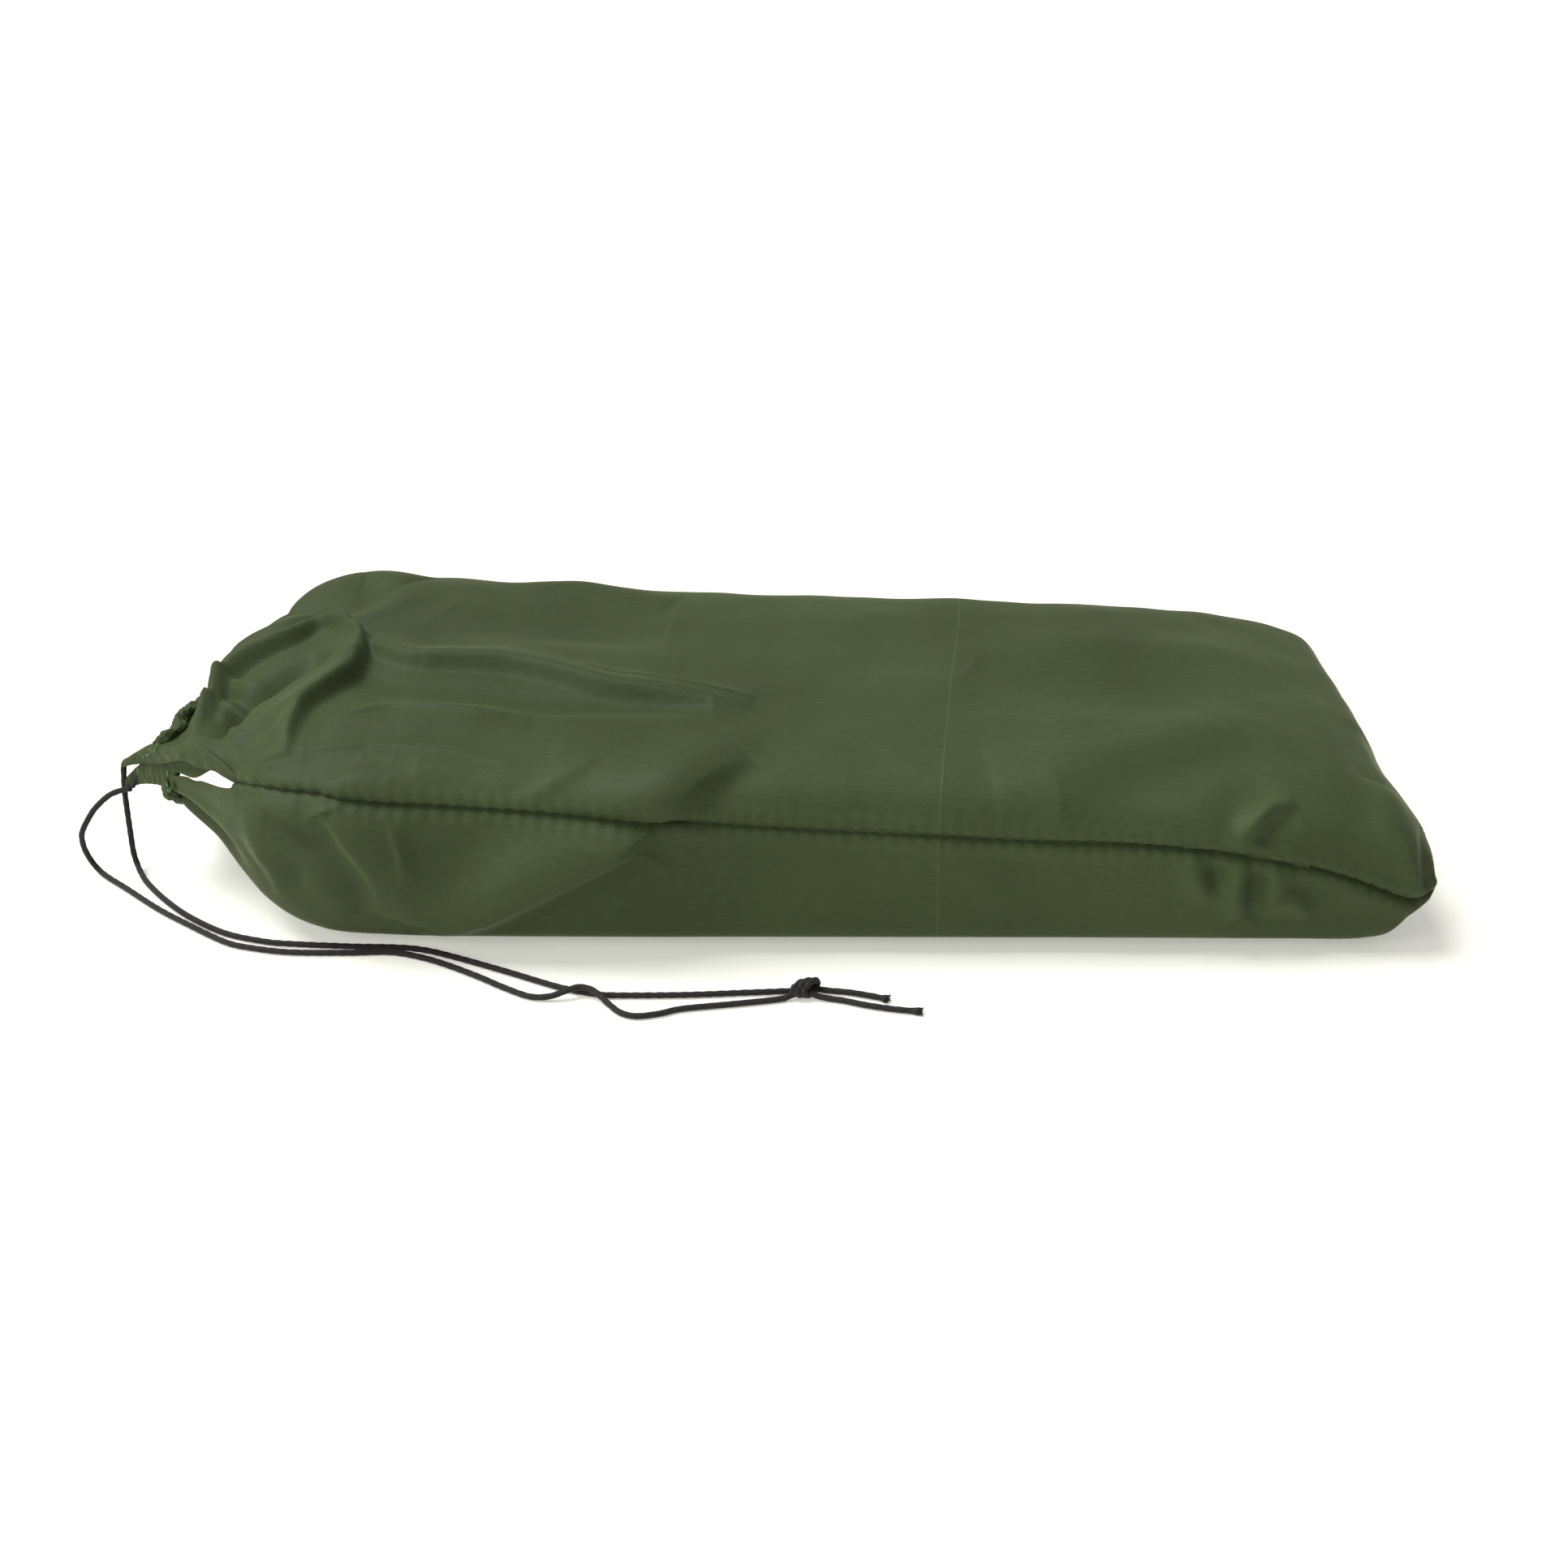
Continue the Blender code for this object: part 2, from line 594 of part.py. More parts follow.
def build_cord_lock(plastic, steel):
    """Barrel with a blind bore, plunger that pushes into it, and the coil spring behind the plunger."""
    shape = bmesh.new()
    cylinder(shape, BARREL_RADIUS, (LOCK_X, BARREL_FRONT, LOCK_Z), (LOCK_X, BARREL_BASE, LOCK_Z), "Y")
    barrel = finish_mesh("cord_lock_barrel", shape, plastic)
    cut(barrel, "barrel", [lock_cutter(BORE_RADIUS, BARREL_FRONT - 0.001, BORE_END), cord_cutter(0.0)])
    shape = bmesh.new()
    cylinder(shape, PLUNGER_RADIUS, (LOCK_X, PLUNGER_TIP, LOCK_Z), (LOCK_X, PLUNGER_END, LOCK_Z), "Y")
    plunger = finish_mesh("cord_lock_plunger", shape, plastic)
    cut(plunger, "plunger", [cord_cutter(PLUNGER_TRAVEL)])
    points = []
    room = BORE_END - GAP - SPRING_START - 2 * SPRING_WIRE
    steps = SPRING_TURNS * SPRING_STEPS
    for k in range(steps + 1):
        swing = 2 * math.pi * k / SPRING_STEPS
        along = SPRING_START + SPRING_WIRE + room * k / steps
        side = SPRING_RADIUS * math.cos(swing)
        up = SPRING_RADIUS * math.sin(swing)
        points.append(Vector((LOCK_X + side, along, LOCK_Z + up)))
    pipe("cord_lock_spring", points, SPRING_WIRE, steel, 1)


def build_hood_cord(made):
    """Cord from the hood through the lock, with a stopper knot at its end."""
    start = MOUTH_X + STACK_START * SACK_LENGTH - GAP
    end = LOCK_X - BARREL_RADIUS - HOOD_CORD_END
    points = [Vector((start + (end - start) * k / 4, LOCK_Y, LOCK_Z)) for k in range(5)]
    pipe("hood_drawcord", points, HOOD_CORD_RADIUS, made, 1)
    shape = bmesh.new()
    bmesh.ops.create_uvsphere(shape, u_segments=12, v_segments=8, radius=HOOD_KNOT_RADIUS)
    place = (end - HOOD_KNOT_RADIUS - GAP, LOCK_Y, LOCK_Z)
    bmesh.ops.translate(shape, vec=place, verts=shape.verts)
    return finish_mesh("hood_cord_knot", shape, made)


def main():
    clear_scene()
    fabric = material("olive_taffeta", (0.056, 0.072, 0.033), 0.55)
    inner_fabric = material("ground_sheet_fabric", (0.035, 0.042, 0.030), 0.50)
    upper_fabric = material("top_sheet_fabric", (0.060, 0.074, 0.036), 0.60)
    thread = material("green_thread", (0.120, 0.190, 0.060), 0.70)
    cord = material("braided_cord", (0.012, 0.010, 0.008), 0.75)
    plastic = material("lock_plastic", (0.015, 0.015, 0.015), 0.35)
    steel = material("spring_steel", (0.560, 0.560, 0.550), 0.30, 1.0)
    build_sack_shell(fabric)
    build_front_seam_allowance(fabric)
    build_front_seam_thread(thread)
    build_end_seam_allowance(fabric)
    build_mouth_casing(fabric)
    build_casing_thread(thread)
    build_drawcord(cord)
    build_knot(cord)
    half_gap = SHEET_GAP / SACK_HEIGHT * 2 / ((STACK_TOP + 1.0) / FOLD_RUNS)
    build_folded_sheet("bivy_ground_sheet", -1.0 + half_gap, -half_gap, inner_fabric)
    build_folded_sheet("bivy_top_sheet", half_gap, 1.0 - half_gap, upper_fabric)
    build_hood(upper_fabric)
    build_cord_lock(plastic, steel)
    build_hood_cord(cord)


main()
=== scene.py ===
"""Looks of a bivy bag packed in its drawstring sack: fabric, seam, gathered mouth, drawcord and stage."""
import math

import bmesh
import bpy
import numpy as np
from mathutils import Matrix, Vector


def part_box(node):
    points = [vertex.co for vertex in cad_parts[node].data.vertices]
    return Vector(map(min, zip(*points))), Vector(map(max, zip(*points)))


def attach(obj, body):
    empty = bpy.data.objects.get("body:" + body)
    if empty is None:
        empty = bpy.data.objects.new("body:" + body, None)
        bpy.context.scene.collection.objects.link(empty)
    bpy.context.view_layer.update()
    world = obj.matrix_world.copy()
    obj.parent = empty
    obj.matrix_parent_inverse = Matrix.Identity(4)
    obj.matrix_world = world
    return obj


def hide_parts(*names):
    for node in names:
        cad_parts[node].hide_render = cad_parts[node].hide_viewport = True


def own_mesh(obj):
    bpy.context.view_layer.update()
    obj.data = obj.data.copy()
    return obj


bl_info = {
    "name": "Packed Bivy Sack",
    "version": (1, 0, 0),
    "blender": (4, 5, 0),
    "location": "View3D > Sidebar > Bivy Sack",
    "description": "Builds a packed bivy sack with its drawcord on a pale floor",
    "category": "Object",
}

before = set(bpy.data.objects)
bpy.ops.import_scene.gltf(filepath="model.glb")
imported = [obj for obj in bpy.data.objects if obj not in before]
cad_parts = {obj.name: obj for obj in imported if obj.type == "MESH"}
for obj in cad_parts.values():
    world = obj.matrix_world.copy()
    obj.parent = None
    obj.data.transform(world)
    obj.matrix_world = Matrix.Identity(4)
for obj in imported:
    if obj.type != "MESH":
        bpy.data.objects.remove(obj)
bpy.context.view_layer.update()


# ---------------------------------------------------------------- settings


class SackSettings(bpy.types.PropertyGroup):
    """Sizes of the sack's fabric."""

    length: bpy.props.FloatProperty(
        name="Sack length", description="From mouth to bottom seam", default=0.4585, unit="LENGTH")
    width: bpy.props.FloatProperty(
        name="Sack width", description="Across the packed sack", default=0.196, unit="LENGTH")
    height: bpy.props.FloatProperty(
        name="Sack height", description="Thickest part of the packed sack", default=0.078, unit="LENGTH")
    mouth: bpy.props.FloatProperty(
        name="Mouth place", description="Place of the mouth along X", default=-0.21865, unit="LENGTH")
    stitch: bpy.props.FloatProperty(
        name="Stitch pitch", description="One stitch of the side seam", default=0.0056, unit="LENGTH")
    fold_depth: bpy.props.FloatProperty(
        name="Fold depth", description="How strongly the folds stand out", default=1.0, min=0.0, max=2.0,
        subtype="FACTOR")
    fabric: bpy.props.FloatVectorProperty(
        name="Fabric colour", description="Colour of the taffeta", default=(0.0405, 0.0550, 0.0208),
        size=3, subtype="COLOR")
    thread: bpy.props.FloatVectorProperty(
        name="Thread colour", description="Colour of the hem thread", default=(0.035, 0.170, 0.040),
        size=3, subtype="COLOR")


class CordSettings(bpy.types.PropertyGroup):
    """Sizes of the drawcord."""

    diameter: bpy.props.FloatProperty(
        name="Cord diameter", description="Thickness of the drawcord", default=0.0021, unit="LENGTH")
    colour: bpy.props.FloatVectorProperty(
        name="Cord colour", description="Colour of the drawcord", default=(0.010, 0.008, 0.0075),
        size=3, subtype="COLOR")


class StageSettings(bpy.types.PropertyGroup):
    """Camera and light."""

    distance: bpy.props.FloatProperty(
        name="Camera distance", description="Camera to the object along Y", default=0.795, unit="LENGTH")
    camera_height: bpy.props.FloatProperty(
        name="Camera height", description="Camera above the floor", default=0.413, unit="LENGTH")
    tilt: bpy.props.FloatProperty(
        name="Camera tilt", description="How far the camera looks down", default=math.radians(26.3),
        subtype="ANGLE")
    lens: bpy.props.FloatProperty(
        name="Lens", description="Focal length on a 36 mm wide sensor, in millimetres", default=51.9)


def sack_settings():
    return bpy.context.scene.bivy_sack


def cord_settings():
    return bpy.context.scene.bivy_cord


def stage_settings():
    return bpy.context.scene.bivy_stage


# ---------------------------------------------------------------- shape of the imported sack

# Place along the length, front and rear edge in sack widths, underside and top in sack heights,
# squareness of the lower and upper halves.
OUTLINE = np.array([
    (0.000, -0.235, -0.040, 0.460, 0.730, 2.6, 2.6),
    (0.016, -0.265, 0.066, 0.420, 0.770, 2.6, 2.6),
    (0.043, -0.330, 0.285, 0.300, 0.850, 2.8, 2.8),
    (0.071, -0.408, 0.412, 0.160, 0.940, 3.4, 3.2),
    (0.104, -0.466, 0.480, 0.040, 0.990, 4.6, 3.9),
    (0.141, -0.492, 0.500, 0.000, 1.000, 6.0, 4.6),
    (0.195, -0.500, 0.500, 0.000, 1.000, 7.0, 5.0),
    (0.293, -0.500, 0.492, 0.000, 0.970, 7.5, 5.0),
    (0.479, -0.500, 0.480, 0.000, 0.930, 7.5, 5.0),
    (0.653, -0.500, 0.475, 0.000, 0.900, 7.5, 5.0),
    (0.784, -0.500, 0.478, 0.000, 0.860, 7.5, 5.0),
    (0.893, -0.500, 0.492, 0.000, 0.790, 7.5, 5.0),
    (0.948, -0.500, 0.500, 0.000, 0.715, 7.0, 4.8),
    (0.980, -0.496, 0.500, 0.030, 0.620, 5.4, 4.4),
    (1.000, -0.482, 0.485, 0.130, 0.490, 4.6, 4.2),
])
# Side seam: place along the length and height in sack heights
SEAM_LINE = np.array([
    (0.072, 0.732), (0.085, 0.765), (0.130, 0.800), (0.195, 0.775), (0.293, 0.735), (0.479, 0.660),
    (0.653, 0.600), (0.860, 0.500), (0.930, 0.400), (0.975, 0.290), (1.000, 0.250),
])
# Edges of the two halves where the side seam stops short of the mouth
SLIT_UPPER = np.array([(0.000, 0.760), (0.0145, 0.786), (0.026, 0.799), (0.040, 0.800), (0.055, 0.778)])
SLIT_LOWER = np.array([(0.000, 0.600), (0.0095, 0.640), (0.0195, 0.652), (0.036, 0.660), (0.0555, 0.690)])
END_SEAM_HEIGHT = 0.30
END_ROUNDING = 0.030
SLIT_END = 0.072
COLUMNS = 430
UPPER_ROWS = 200
LOWER_ROWS = 150
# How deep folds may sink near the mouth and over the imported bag
ROOM_AT_MOUTH = 0.0200
ROOM_OVER_BAG = 0.0032
# Share of the gathered rim that the upper half takes, and where its front edge leaves the hem
RIM_SHARE = 0.53
HEM_END_X = -0.190
UNDER_HEM = 0.0006
SLIT_FRONT_Y = -0.055
# Ear at the bottom corner of the side seam
EAR_REACH = 0.0030
EAR_RISE = 0.0016


def smooth_step(part):
    part = np.clip(part, 0.0, 1.0)
    return part * part * (3 - 2 * part)


def tenths(*points):
    """Points given in tenths of a millimetre, in metres."""
    return [tuple(part / 10000 for part in point) for point in points]


def eased(rows, places, column):
    """Values of one column of a table at many places, eased smoothly between its rows."""
    known = rows[:, 0]
    values = rows[:, column]
    slope = np.gradient(values, known)
    index = np.clip(np.searchsorted(known, places, side="right") - 1, 0, len(known) - 2)
    span = known[index + 1] - known[index]
    part = np.clip((places - known[index]) / span, 0.0, 1.0)
    square = part * part
    cube = square * part
    return ((2 * cube - 3 * square + 1) * values[index] + (cube - 2 * square + part) * slope[index] * span
            + (3 * square - 2 * cube) * values[index + 1] + (cube - square) * slope[index + 1] * span)


def column_places(count):
    """Places along the length, closer together at the gathered mouth and round the far end."""
    even = np.linspace(0.0, 1.0, count)
    closer = 0.055 * np.sin(2 * math.pi * even) / (2 * math.pi) * 2
    return even - closer - 0.010 * np.sin(math.pi * even) * even


def section_edges(places):
    """Front, rear, underside and top of the sack at each place, in metres, closing on the end seam."""
    size = sack_settings()
    front = eased(OUTLINE, places, 1) * size.width
    rear = eased(OUTLINE, places, 2) * size.width
    low = np.maximum(eased(OUTLINE, places, 3), 0.0) * size.height
    high = eased(OUTLINE, places, 4) * size.height
    start = 1.0 - END_ROUNDING
    turn = np.clip((places - start) / END_ROUNDING, 0.0, 1.0)
    shut = np.sqrt(np.maximum(1.0 - turn ** 2, 0.0))
    middle = END_SEAM_HEIGHT * size.height
    high = middle + (high - middle) * shut
    low = middle + (low - middle) * shut
    return front, rear, low, high


def panel_grid(upper):
    """Points of one half of the sack, from the front seam to the fold at the rear, and their girth."""
    size = sack_settings()
    rows = UPPER_ROWS if upper else LOWER_ROWS
    places = column_places(COLUMNS)
    front, rear, low, high = section_edges(places)
    edge = np.concatenate([SLIT_UPPER if upper else SLIT_LOWER, SEAM_LINE])
    seam = eased(edge, places, 1) * size.height
    square_low = eased(OUTLINE, places, 5)
    square_high = eased(OUTLINE, places, 6)
    grid = np.zeros((COLUMNS, rows, 3))
    girth = np.zeros((COLUMNS, rows))
    for i in range(COLUMNS):
        middle_y = (front[i] + rear[i]) / 2
        middle_z = (low[i] + high[i]) / 2
        half_y = (rear[i] - front[i]) / 2
        half_z = max((high[i] - low[i]) / 2, 1e-5)
        turns = np.linspace(math.pi / 2, 3 * math.pi / 2, 400)
        ring = ring_points(turns, half_y, half_z, square_low[i], square_high[i])
        most = 0.98 * (1.0 - smooth_step((places[i] - 0.970) / 0.030))
        height = np.clip((seam[i] - middle_z) / half_z, -most, most) * half_z
        seam_turn = np.interp(-height, -ring[:, 1], turns)
        finish = 0.0 if upper else 2 * math.pi
        turns = np.linspace(seam_turn, finish, 500)
        ring = ring_points(turns, half_y, half_z, square_low[i], square_high[i])
        steps = np.concatenate([[0.0], np.cumsum(np.linalg.norm(np.diff(ring, axis=0), axis=1))])
        wanted = steps[-1] * np.linspace(0.0, 1.0, rows) ** 1.5
        grid[i, :, 0] = size.mouth + places[i] * size.length
        grid[i, :, 1] = middle_y + np.interp(wanted, steps, ring[:, 0])
        grid[i, :, 2] = middle_z + np.interp(wanted, steps, ring[:, 1])
        girth[i] = wanted
    return grid, girth, places


def ring_points(turns, half_y, half_z, square_low, square_high):
    across = np.cos(turns)
    up = np.sin(turns)
    square = np.where(up < 0, square_low, square_high)
    reach = (np.abs(across) ** square + np.abs(up) ** square) ** (-1.0 / square)
    return np.stack([half_y * across * reach, half_z * up * reach], axis=1)


def grid_normals(grid, upper):
    """Outward normals of a panel's points."""
    along = np.gradient(grid, axis=0)
    across = np.gradient(grid, axis=1)
    normal = np.cross(along, across) if upper else np.cross(across, along)
    length = np.linalg.norm(normal, axis=2, keepdims=True)
    return normal / np.maximum(length, 1e-12)


# ---------------------------------------------------------------- folds

# Folds: kind, width, height, and the points of the fold's line on the sack in tenths of a millimetre.
# A crisp fold falls off steeply to the left or right of its line.
FOLDS = [
    ("round", 0.013, 0.0058, [
        (-1892, 533, 683), (-1809, 661, 707), (-1714, 759, 721), (-1605, 811, 729), (-1433, 678, 767),
    ]),
    ("round", 0.015, 0.006, [
        (-2111, -128, 601), (-2070, 106, 606), (-1997, 231, 648), (-1897, 318, 709), (-1801, 423, 746),
    ]),
    ("round", 0.012, 0.0034, [
        (-985, 661, 753), (-829, 756, 730), (-590, 681, 731), (-354, 594, 730),
    ]),
    ("round", 0.004, 0.0012, [
        (-2113, -161, 600), (-2050, 164, 614), (-1928, 446, 672), (-1789, 691, 709), (-1639, 803, 727),
    ]),
    ("round", 0.0036, -0.0034, [
        (-2111, -261, 601), (-2068, -37, 621), (-1972, 121, 671), (-1834, 255, 742), (-1677, 463, 771),
    ]),
    ("steep_right", 0.007, 0.0085, [
        (-2186, -79, 452), (-2075, -279, 616), (-2033, -155, 640), (-1974, -44, 671), (-1902, 31, 713),
        (-1787, 104, 757), (-1689, 175, 775), (-1575, 98, 779),
    ]),
    ("round", 0.0068, -0.014, [
        (-2155, -6, 408), (-1992, -422, 639), (-1936, -353, 683), (-1865, -285, 727),
        (-1788, -207, 756), (-1708, -138, 772), (-1637, -75, 778),
    ]),
    ("steep_left", 0.01, 0.0074, [
        (-1698, 224, 774), (-1582, 127, 779), (-1510, -46, 781), (-1512, -276, 780),
        (-1579, -429, 777), (-1635, -527, 770), (-1655, -693, 747), (-1656, -817, 707),
    ]),
    ("round", 0.005, -0.0034, [
        (-1849, -686, 664), (-1803, -623, 714), (-1731, -603, 745), (-1675, -556, 763),
    ]),
    ("round", 0.0045, 0.002, [
        (-1836, -766, 623), (-1733, -802, 680), (-1659, -799, 714), (-1513, -813, 735),
        (-1370, -810, 743),
    ]),
    ("round", 0.006, -0.002, [
        (-1749, -708, 715), (-1624, -793, 725), (-1399, -857, 726), (-1185, -879, 717),
    ]),
    ("round", 0.008, 0.0016, [
        (-1411, 827, 739), (-1430, 549, 777), (-1504, 377, 780), (-1612, 300, 779),
    ]),
    ("round", 0.007, -0.0014, [
        (-1581, 716, 755), (-1564, 496, 776), (-1626, 383, 777), (-1722, 353, 768),
    ]),
    ("steep_right", 0.012, 0.0066, [
        (-1679, 229, 776), (-1504, 13, 781), (-1324, -158, 781), (-1132, -175, 774), (-941, -187, 762),
        (-747, -249, 752), (-552, -333, 744), (-289, -380, 735), (-28, -424, 726),
    ]),
    ("round", 0.008, -0.0052, [
        (-1529, -181, 780), (-1370, -347, 781), (-1179, -381, 775), (-955, -396, 762),
        (-730, -438, 750), (-471, -442, 740), (-175, -456, 730),
    ]),
    ("round", 0.009, 0.002, [
        (-1540, -647, 765), (-1325, -637, 771), (-1080, -582, 765), (-809, -570, 750),
    ]),
    ("round", 0.01, -0.002, [
        (-1593, -762, 740), (-1379, -754, 756), (-1060, -740, 749), (-701, -772, 725),
    ]),
    ("steep_right", 0.004, 0.0012, [
        (-1662, -783, 720), (-1515, -796, 740), (-1303, -784, 750), (-1052, -812, 734),
        (-853, -857, 707),
    ]),
    ("steep_right", 0.0045, 0.0016, [
        (-1506, -633, 769), (-1338, -549, 776), (-1119, -558, 769), (-898, -587, 754),
    ]),
    ("steep_right", 0.004, 0.0012, [
        (-679, -158, 749), (-446, -241, 740), (-217, -298, 733), (8, -346, 725),
    ]),
    ("steep_left", 0.0045, 0.0012, [
        (-1285, -970, 605), (-1182, -980, 551), (-1078, -981, 532), (-936, -977, 550),
    ]),
    ("round", 0.0035, 0.001, [
        (-848, -972, 577), (-759, -949, 634), (-657, -890, 683), (-555, -819, 708),
    ]),
    ("steep_left", 0.004, 0.001, [
        (-552, -980, 481), (-412, -980, 422), (-290, -980, 351),
    ]),
    ("round", 0.005, 0.0014, [
        (-1835, -818, 528), (-1781, -868, 433), (-1755, -885, 300),
    ]),
    ("steep_right", 0.004, 0.0014, [
        (-1270, -978, 550), (-1242, -982, 453), (-1233, -982, 332),
    ]),
    ("round", 0.018, -0.003, [
        (-1244, 381, 778), (-995, 307, 765), (-695, 292, 750), (-356, 270, 737),
    ]),
    ("round", 0.014, 0.0022, [
        (-1234, 18, 778), (-961, -5, 763), (-671, -21, 749), (-282, -76, 735),
    ]),
    ("steep_right", 0.018, 0.0098, [
        (-1154, -921, 49), (-1063, -972, 115), (-840, -980, 241), (-664, -980, 339), (-490, -980, 436),
        (-379, -977, 530), (-268, -954, 611), (-158, -890, 668), (-41, -797, 697),
    ]),
    ("round", 0.0075, 0.0014, [
        (-1136, -982, 199), (-951, -981, 301), (-767, -980, 412), (-551, -979, 491),
    ]),
    ("round", 0.009, -0.0012, [
        (-163, -976, 529), (-198, -959, 599), (-110, -893, 665), (-6, -781, 700), (120, -661, 712),
    ]),
    ("round", 0.01, 0.001, [
        (-462, -975, 549), (-339, -930, 644), (-166, -802, 700), (-25, -668, 716),
    ]),
    ("steep_right", 0.02, 0.0085, [
        (-1531, -953, 604), (-1458, -972, 547), (-1420, -977, 490), (-1374, -978, 421),
        (-1332, -979, 345), (-1316, -979, 257), (-1338, -975, 165),
    ]),
    ("round", 0.009, 0.003, [
        (-1613, -949, 334), (-1509, -970, 264), (-1425, -975, 185),
    ]),
    ("round", 0.006, -0.0022, [
        (-1662, -934, 407), (-1644, -940, 309), (-1607, -947, 211),
    ]),
    ("steep_right", 0.0045, 0.003, [
        (-1767, -860, 580), (-1648, -933, 557), (-1566, -957, 535), (-1499, -964, 582),
        (-1408, -963, 617),
    ]),
    ("round", 0.0045, -0.0026, [
        (-1730, -899, 510), (-1635, -942, 492), (-1543, -963, 483), (-1467, -973, 528),
    ]),
    ("round", 0.005, 0.0012, [
        (-1832, -826, 371), (-1736, -897, 285), (-1645, -936, 215), (-1543, -948, 128),
    ]),
    ("round", 0.005, -0.0012, [
        (-1895, -762, 419), (-1818, -835, 314), (-1724, -896, 224),
    ]),
    ("round", 0.012, -0.0034, [
        (1055, -937, 598), (1268, -908, 612), (1492, -812, 634), (1693, -675, 637), (1833, -507, 627),
    ]),
    ("round", 0.015, 0.0028, [
        (816, -833, 664), (1067, -793, 664), (1331, -675, 666), (1670, -379, 649),
    ]),
    ("round", 0.018, -0.0028, [
        (803, -37, 702), (1137, -147, 688), (1520, -135, 662), (1809, -21, 633),
    ]),
    ("round", 0.016, 0.0022, [
        (906, 272, 698), (1261, 260, 681), (1663, 284, 650), (1998, 350, 600),
    ]),
    ("round", 0.0042, 0.0036, [
        (1486, -979, 442), (1522, -980, 375), (1552, -980, 294), (1587, -980, 211),
    ]),
    ("round", 0.0045, -0.0024, [
        (1570, -980, 412), (1611, -980, 343), (1672, -980, 252),
    ]),
    ("round", 0.0034, -0.003, [
        (1757, -979, 426), (1749, -980, 363), (1747, -980, 252), (1765, -978, 139),
    ]),
    ("round", 0.005, 0.0046, [
        (1711, -980, 414), (1685, -980, 343), (1681, -980, 252), (1703, -979, 149),
    ]),
    ("round", 0.005, 0.0046, [
        (1791, -980, 406), (1824, -980, 333), (1823, -980, 252), (1815, -979, 149),
    ]),
    ("round", 0.004, 0.0034, [
        (1844, -980, 252), (1909, -980, 209), (1958, -979, 150),
    ]),
    ("round", 0.0042, 0.0044, [
        (1657, -979, 432), (1705, -971, 497), (1754, -948, 540), (1805, -922, 560), (1888, -898, 562),
    ]),
    ("round", 0.0045, -0.0028, [
        (1757, -978, 445), (1784, -969, 496), (1825, -949, 531), (1892, -934, 537),
    ]),
    ("round", 0.008, -0.0034, [
        (1616, -968, 515), (1652, -940, 560), (1715, -864, 600), (1771, -745, 620),
    ]),
    ("round", 0.005, 0.0014, [
        (2021, -981, 303), (2115, -981, 252), (2210, -979, 201),
    ]),
    ("round", 0.006, -0.0012, [
        (955, -980, 422), (923, -980, 343), (875, -980, 242),
    ]),
    ("round", 0.006, 0.001, [
        (659, -980, 343), (819, -980, 302), (960, -980, 322),
    ]),
    ("round", 0.01, -0.0022, [
        (2052, -981, 343), (2096, -967, 456), (2153, -835, 526), (2240, -543, 522), (2314, -155, 459),
    ]),
    ("round", 0.008, 0.0018, [
        (2256, -977, 341), (2216, -947, 445), (2220, -826, 502), (2241, -618, 518),
    ]),
    ("steep_right", 0.004, 0.0022, [
        (2354, -959, 230), (2307, -972, 298), (2261, -966, 395), (2249, -938, 440),
    ]),
    ("round", 0.003, -0.002, [
        (2366, -954, 258), (2333, -957, 330), (2317, -920, 391), (2348, -751, 379),
    ]),
]


def fold_profile(kind, side, width):
    """Height of a fold at a signed distance from its line, from 0 to 1."""
    if kind == "steep_left":
        reach = np.where(side < 0, width * 0.25, width)
    elif kind == "steep_right":
        reach = np.where(side > 0, width * 0.25, width)
    else:
        reach = width
    return np.exp(-(side / reach) ** 2)


def fold_height(grid, normals, kind, width, height, points):
    """Lift along the normal that one fold gives to each point of a panel."""
    line = np.array(smooth_route(tenths(*points), max(len(points) * 4, 8)))
    flat = grid.reshape(-1, 3)
    low = line.min(0) - width * 3
    high = line.max(0) + width * 3
    near = np.all((flat > low) & (flat < high), axis=1)
    if not near.any():
        return np.zeros(grid.shape[:2])
    spots = flat[near]
    outward = normals.reshape(-1, 3)[near]
    best = np.full(len(spots), 1e9)
    side = np.zeros(len(spots))
    place = np.zeros(len(spots))
    count = len(line) - 1
    for k in range(count):
        start = line[k]
        along = line[k + 1] - start
        size = float(along @ along) + 1e-15
        part = np.clip((spots - start) @ along / size, 0.0, 1.0)
        away = spots - (start + part[:, None] * along)
        distance = np.linalg.norm(away, axis=1)
        closer = distance < best
        right = np.einsum("ij,ij->i", np.cross(along, outward), away)
        best = np.where(closer, distance, best)
        side = np.where(closer, np.sign(right), side)
        place = np.where(closer, (k + part) / count, place)
    ends = np.sin(math.pi * np.clip(place, 0.0, 1.0)) ** 0.6
    lift = np.zeros(len(flat))
    lift[near] = height * fold_profile(kind, side * best, width) * ends
    return lift.reshape(grid.shape[:2])


def shared_normals(normals, girth, places):
    """Outward directions that both halves share where they meet, so that no gap opens in a seam."""
    whole = girth[:, -1:]
    front = smooth_step(girth / 0.008)
    rear = smooth_step((whole - girth) / 0.008)
    end = smooth_step((1.0 - places) / 0.020)[:, None]
    mixed = normals * (front * rear * end)[:, :, None]
    mixed = mixed + np.array([0.0, -1.0, 0.0]) * (1 - front)[:, :, None]
    mixed = mixed + np.array([0.0, 1.0, 0.0]) * (1 - rear)[:, :, None]
    mixed = mixed + np.array([1.0, 0.0, 0.0]) * np.broadcast_to(1 - end, girth.shape)[:, :, None]
    return mixed / np.maximum(np.linalg.norm(mixed, axis=2, keepdims=True), 1e-9)


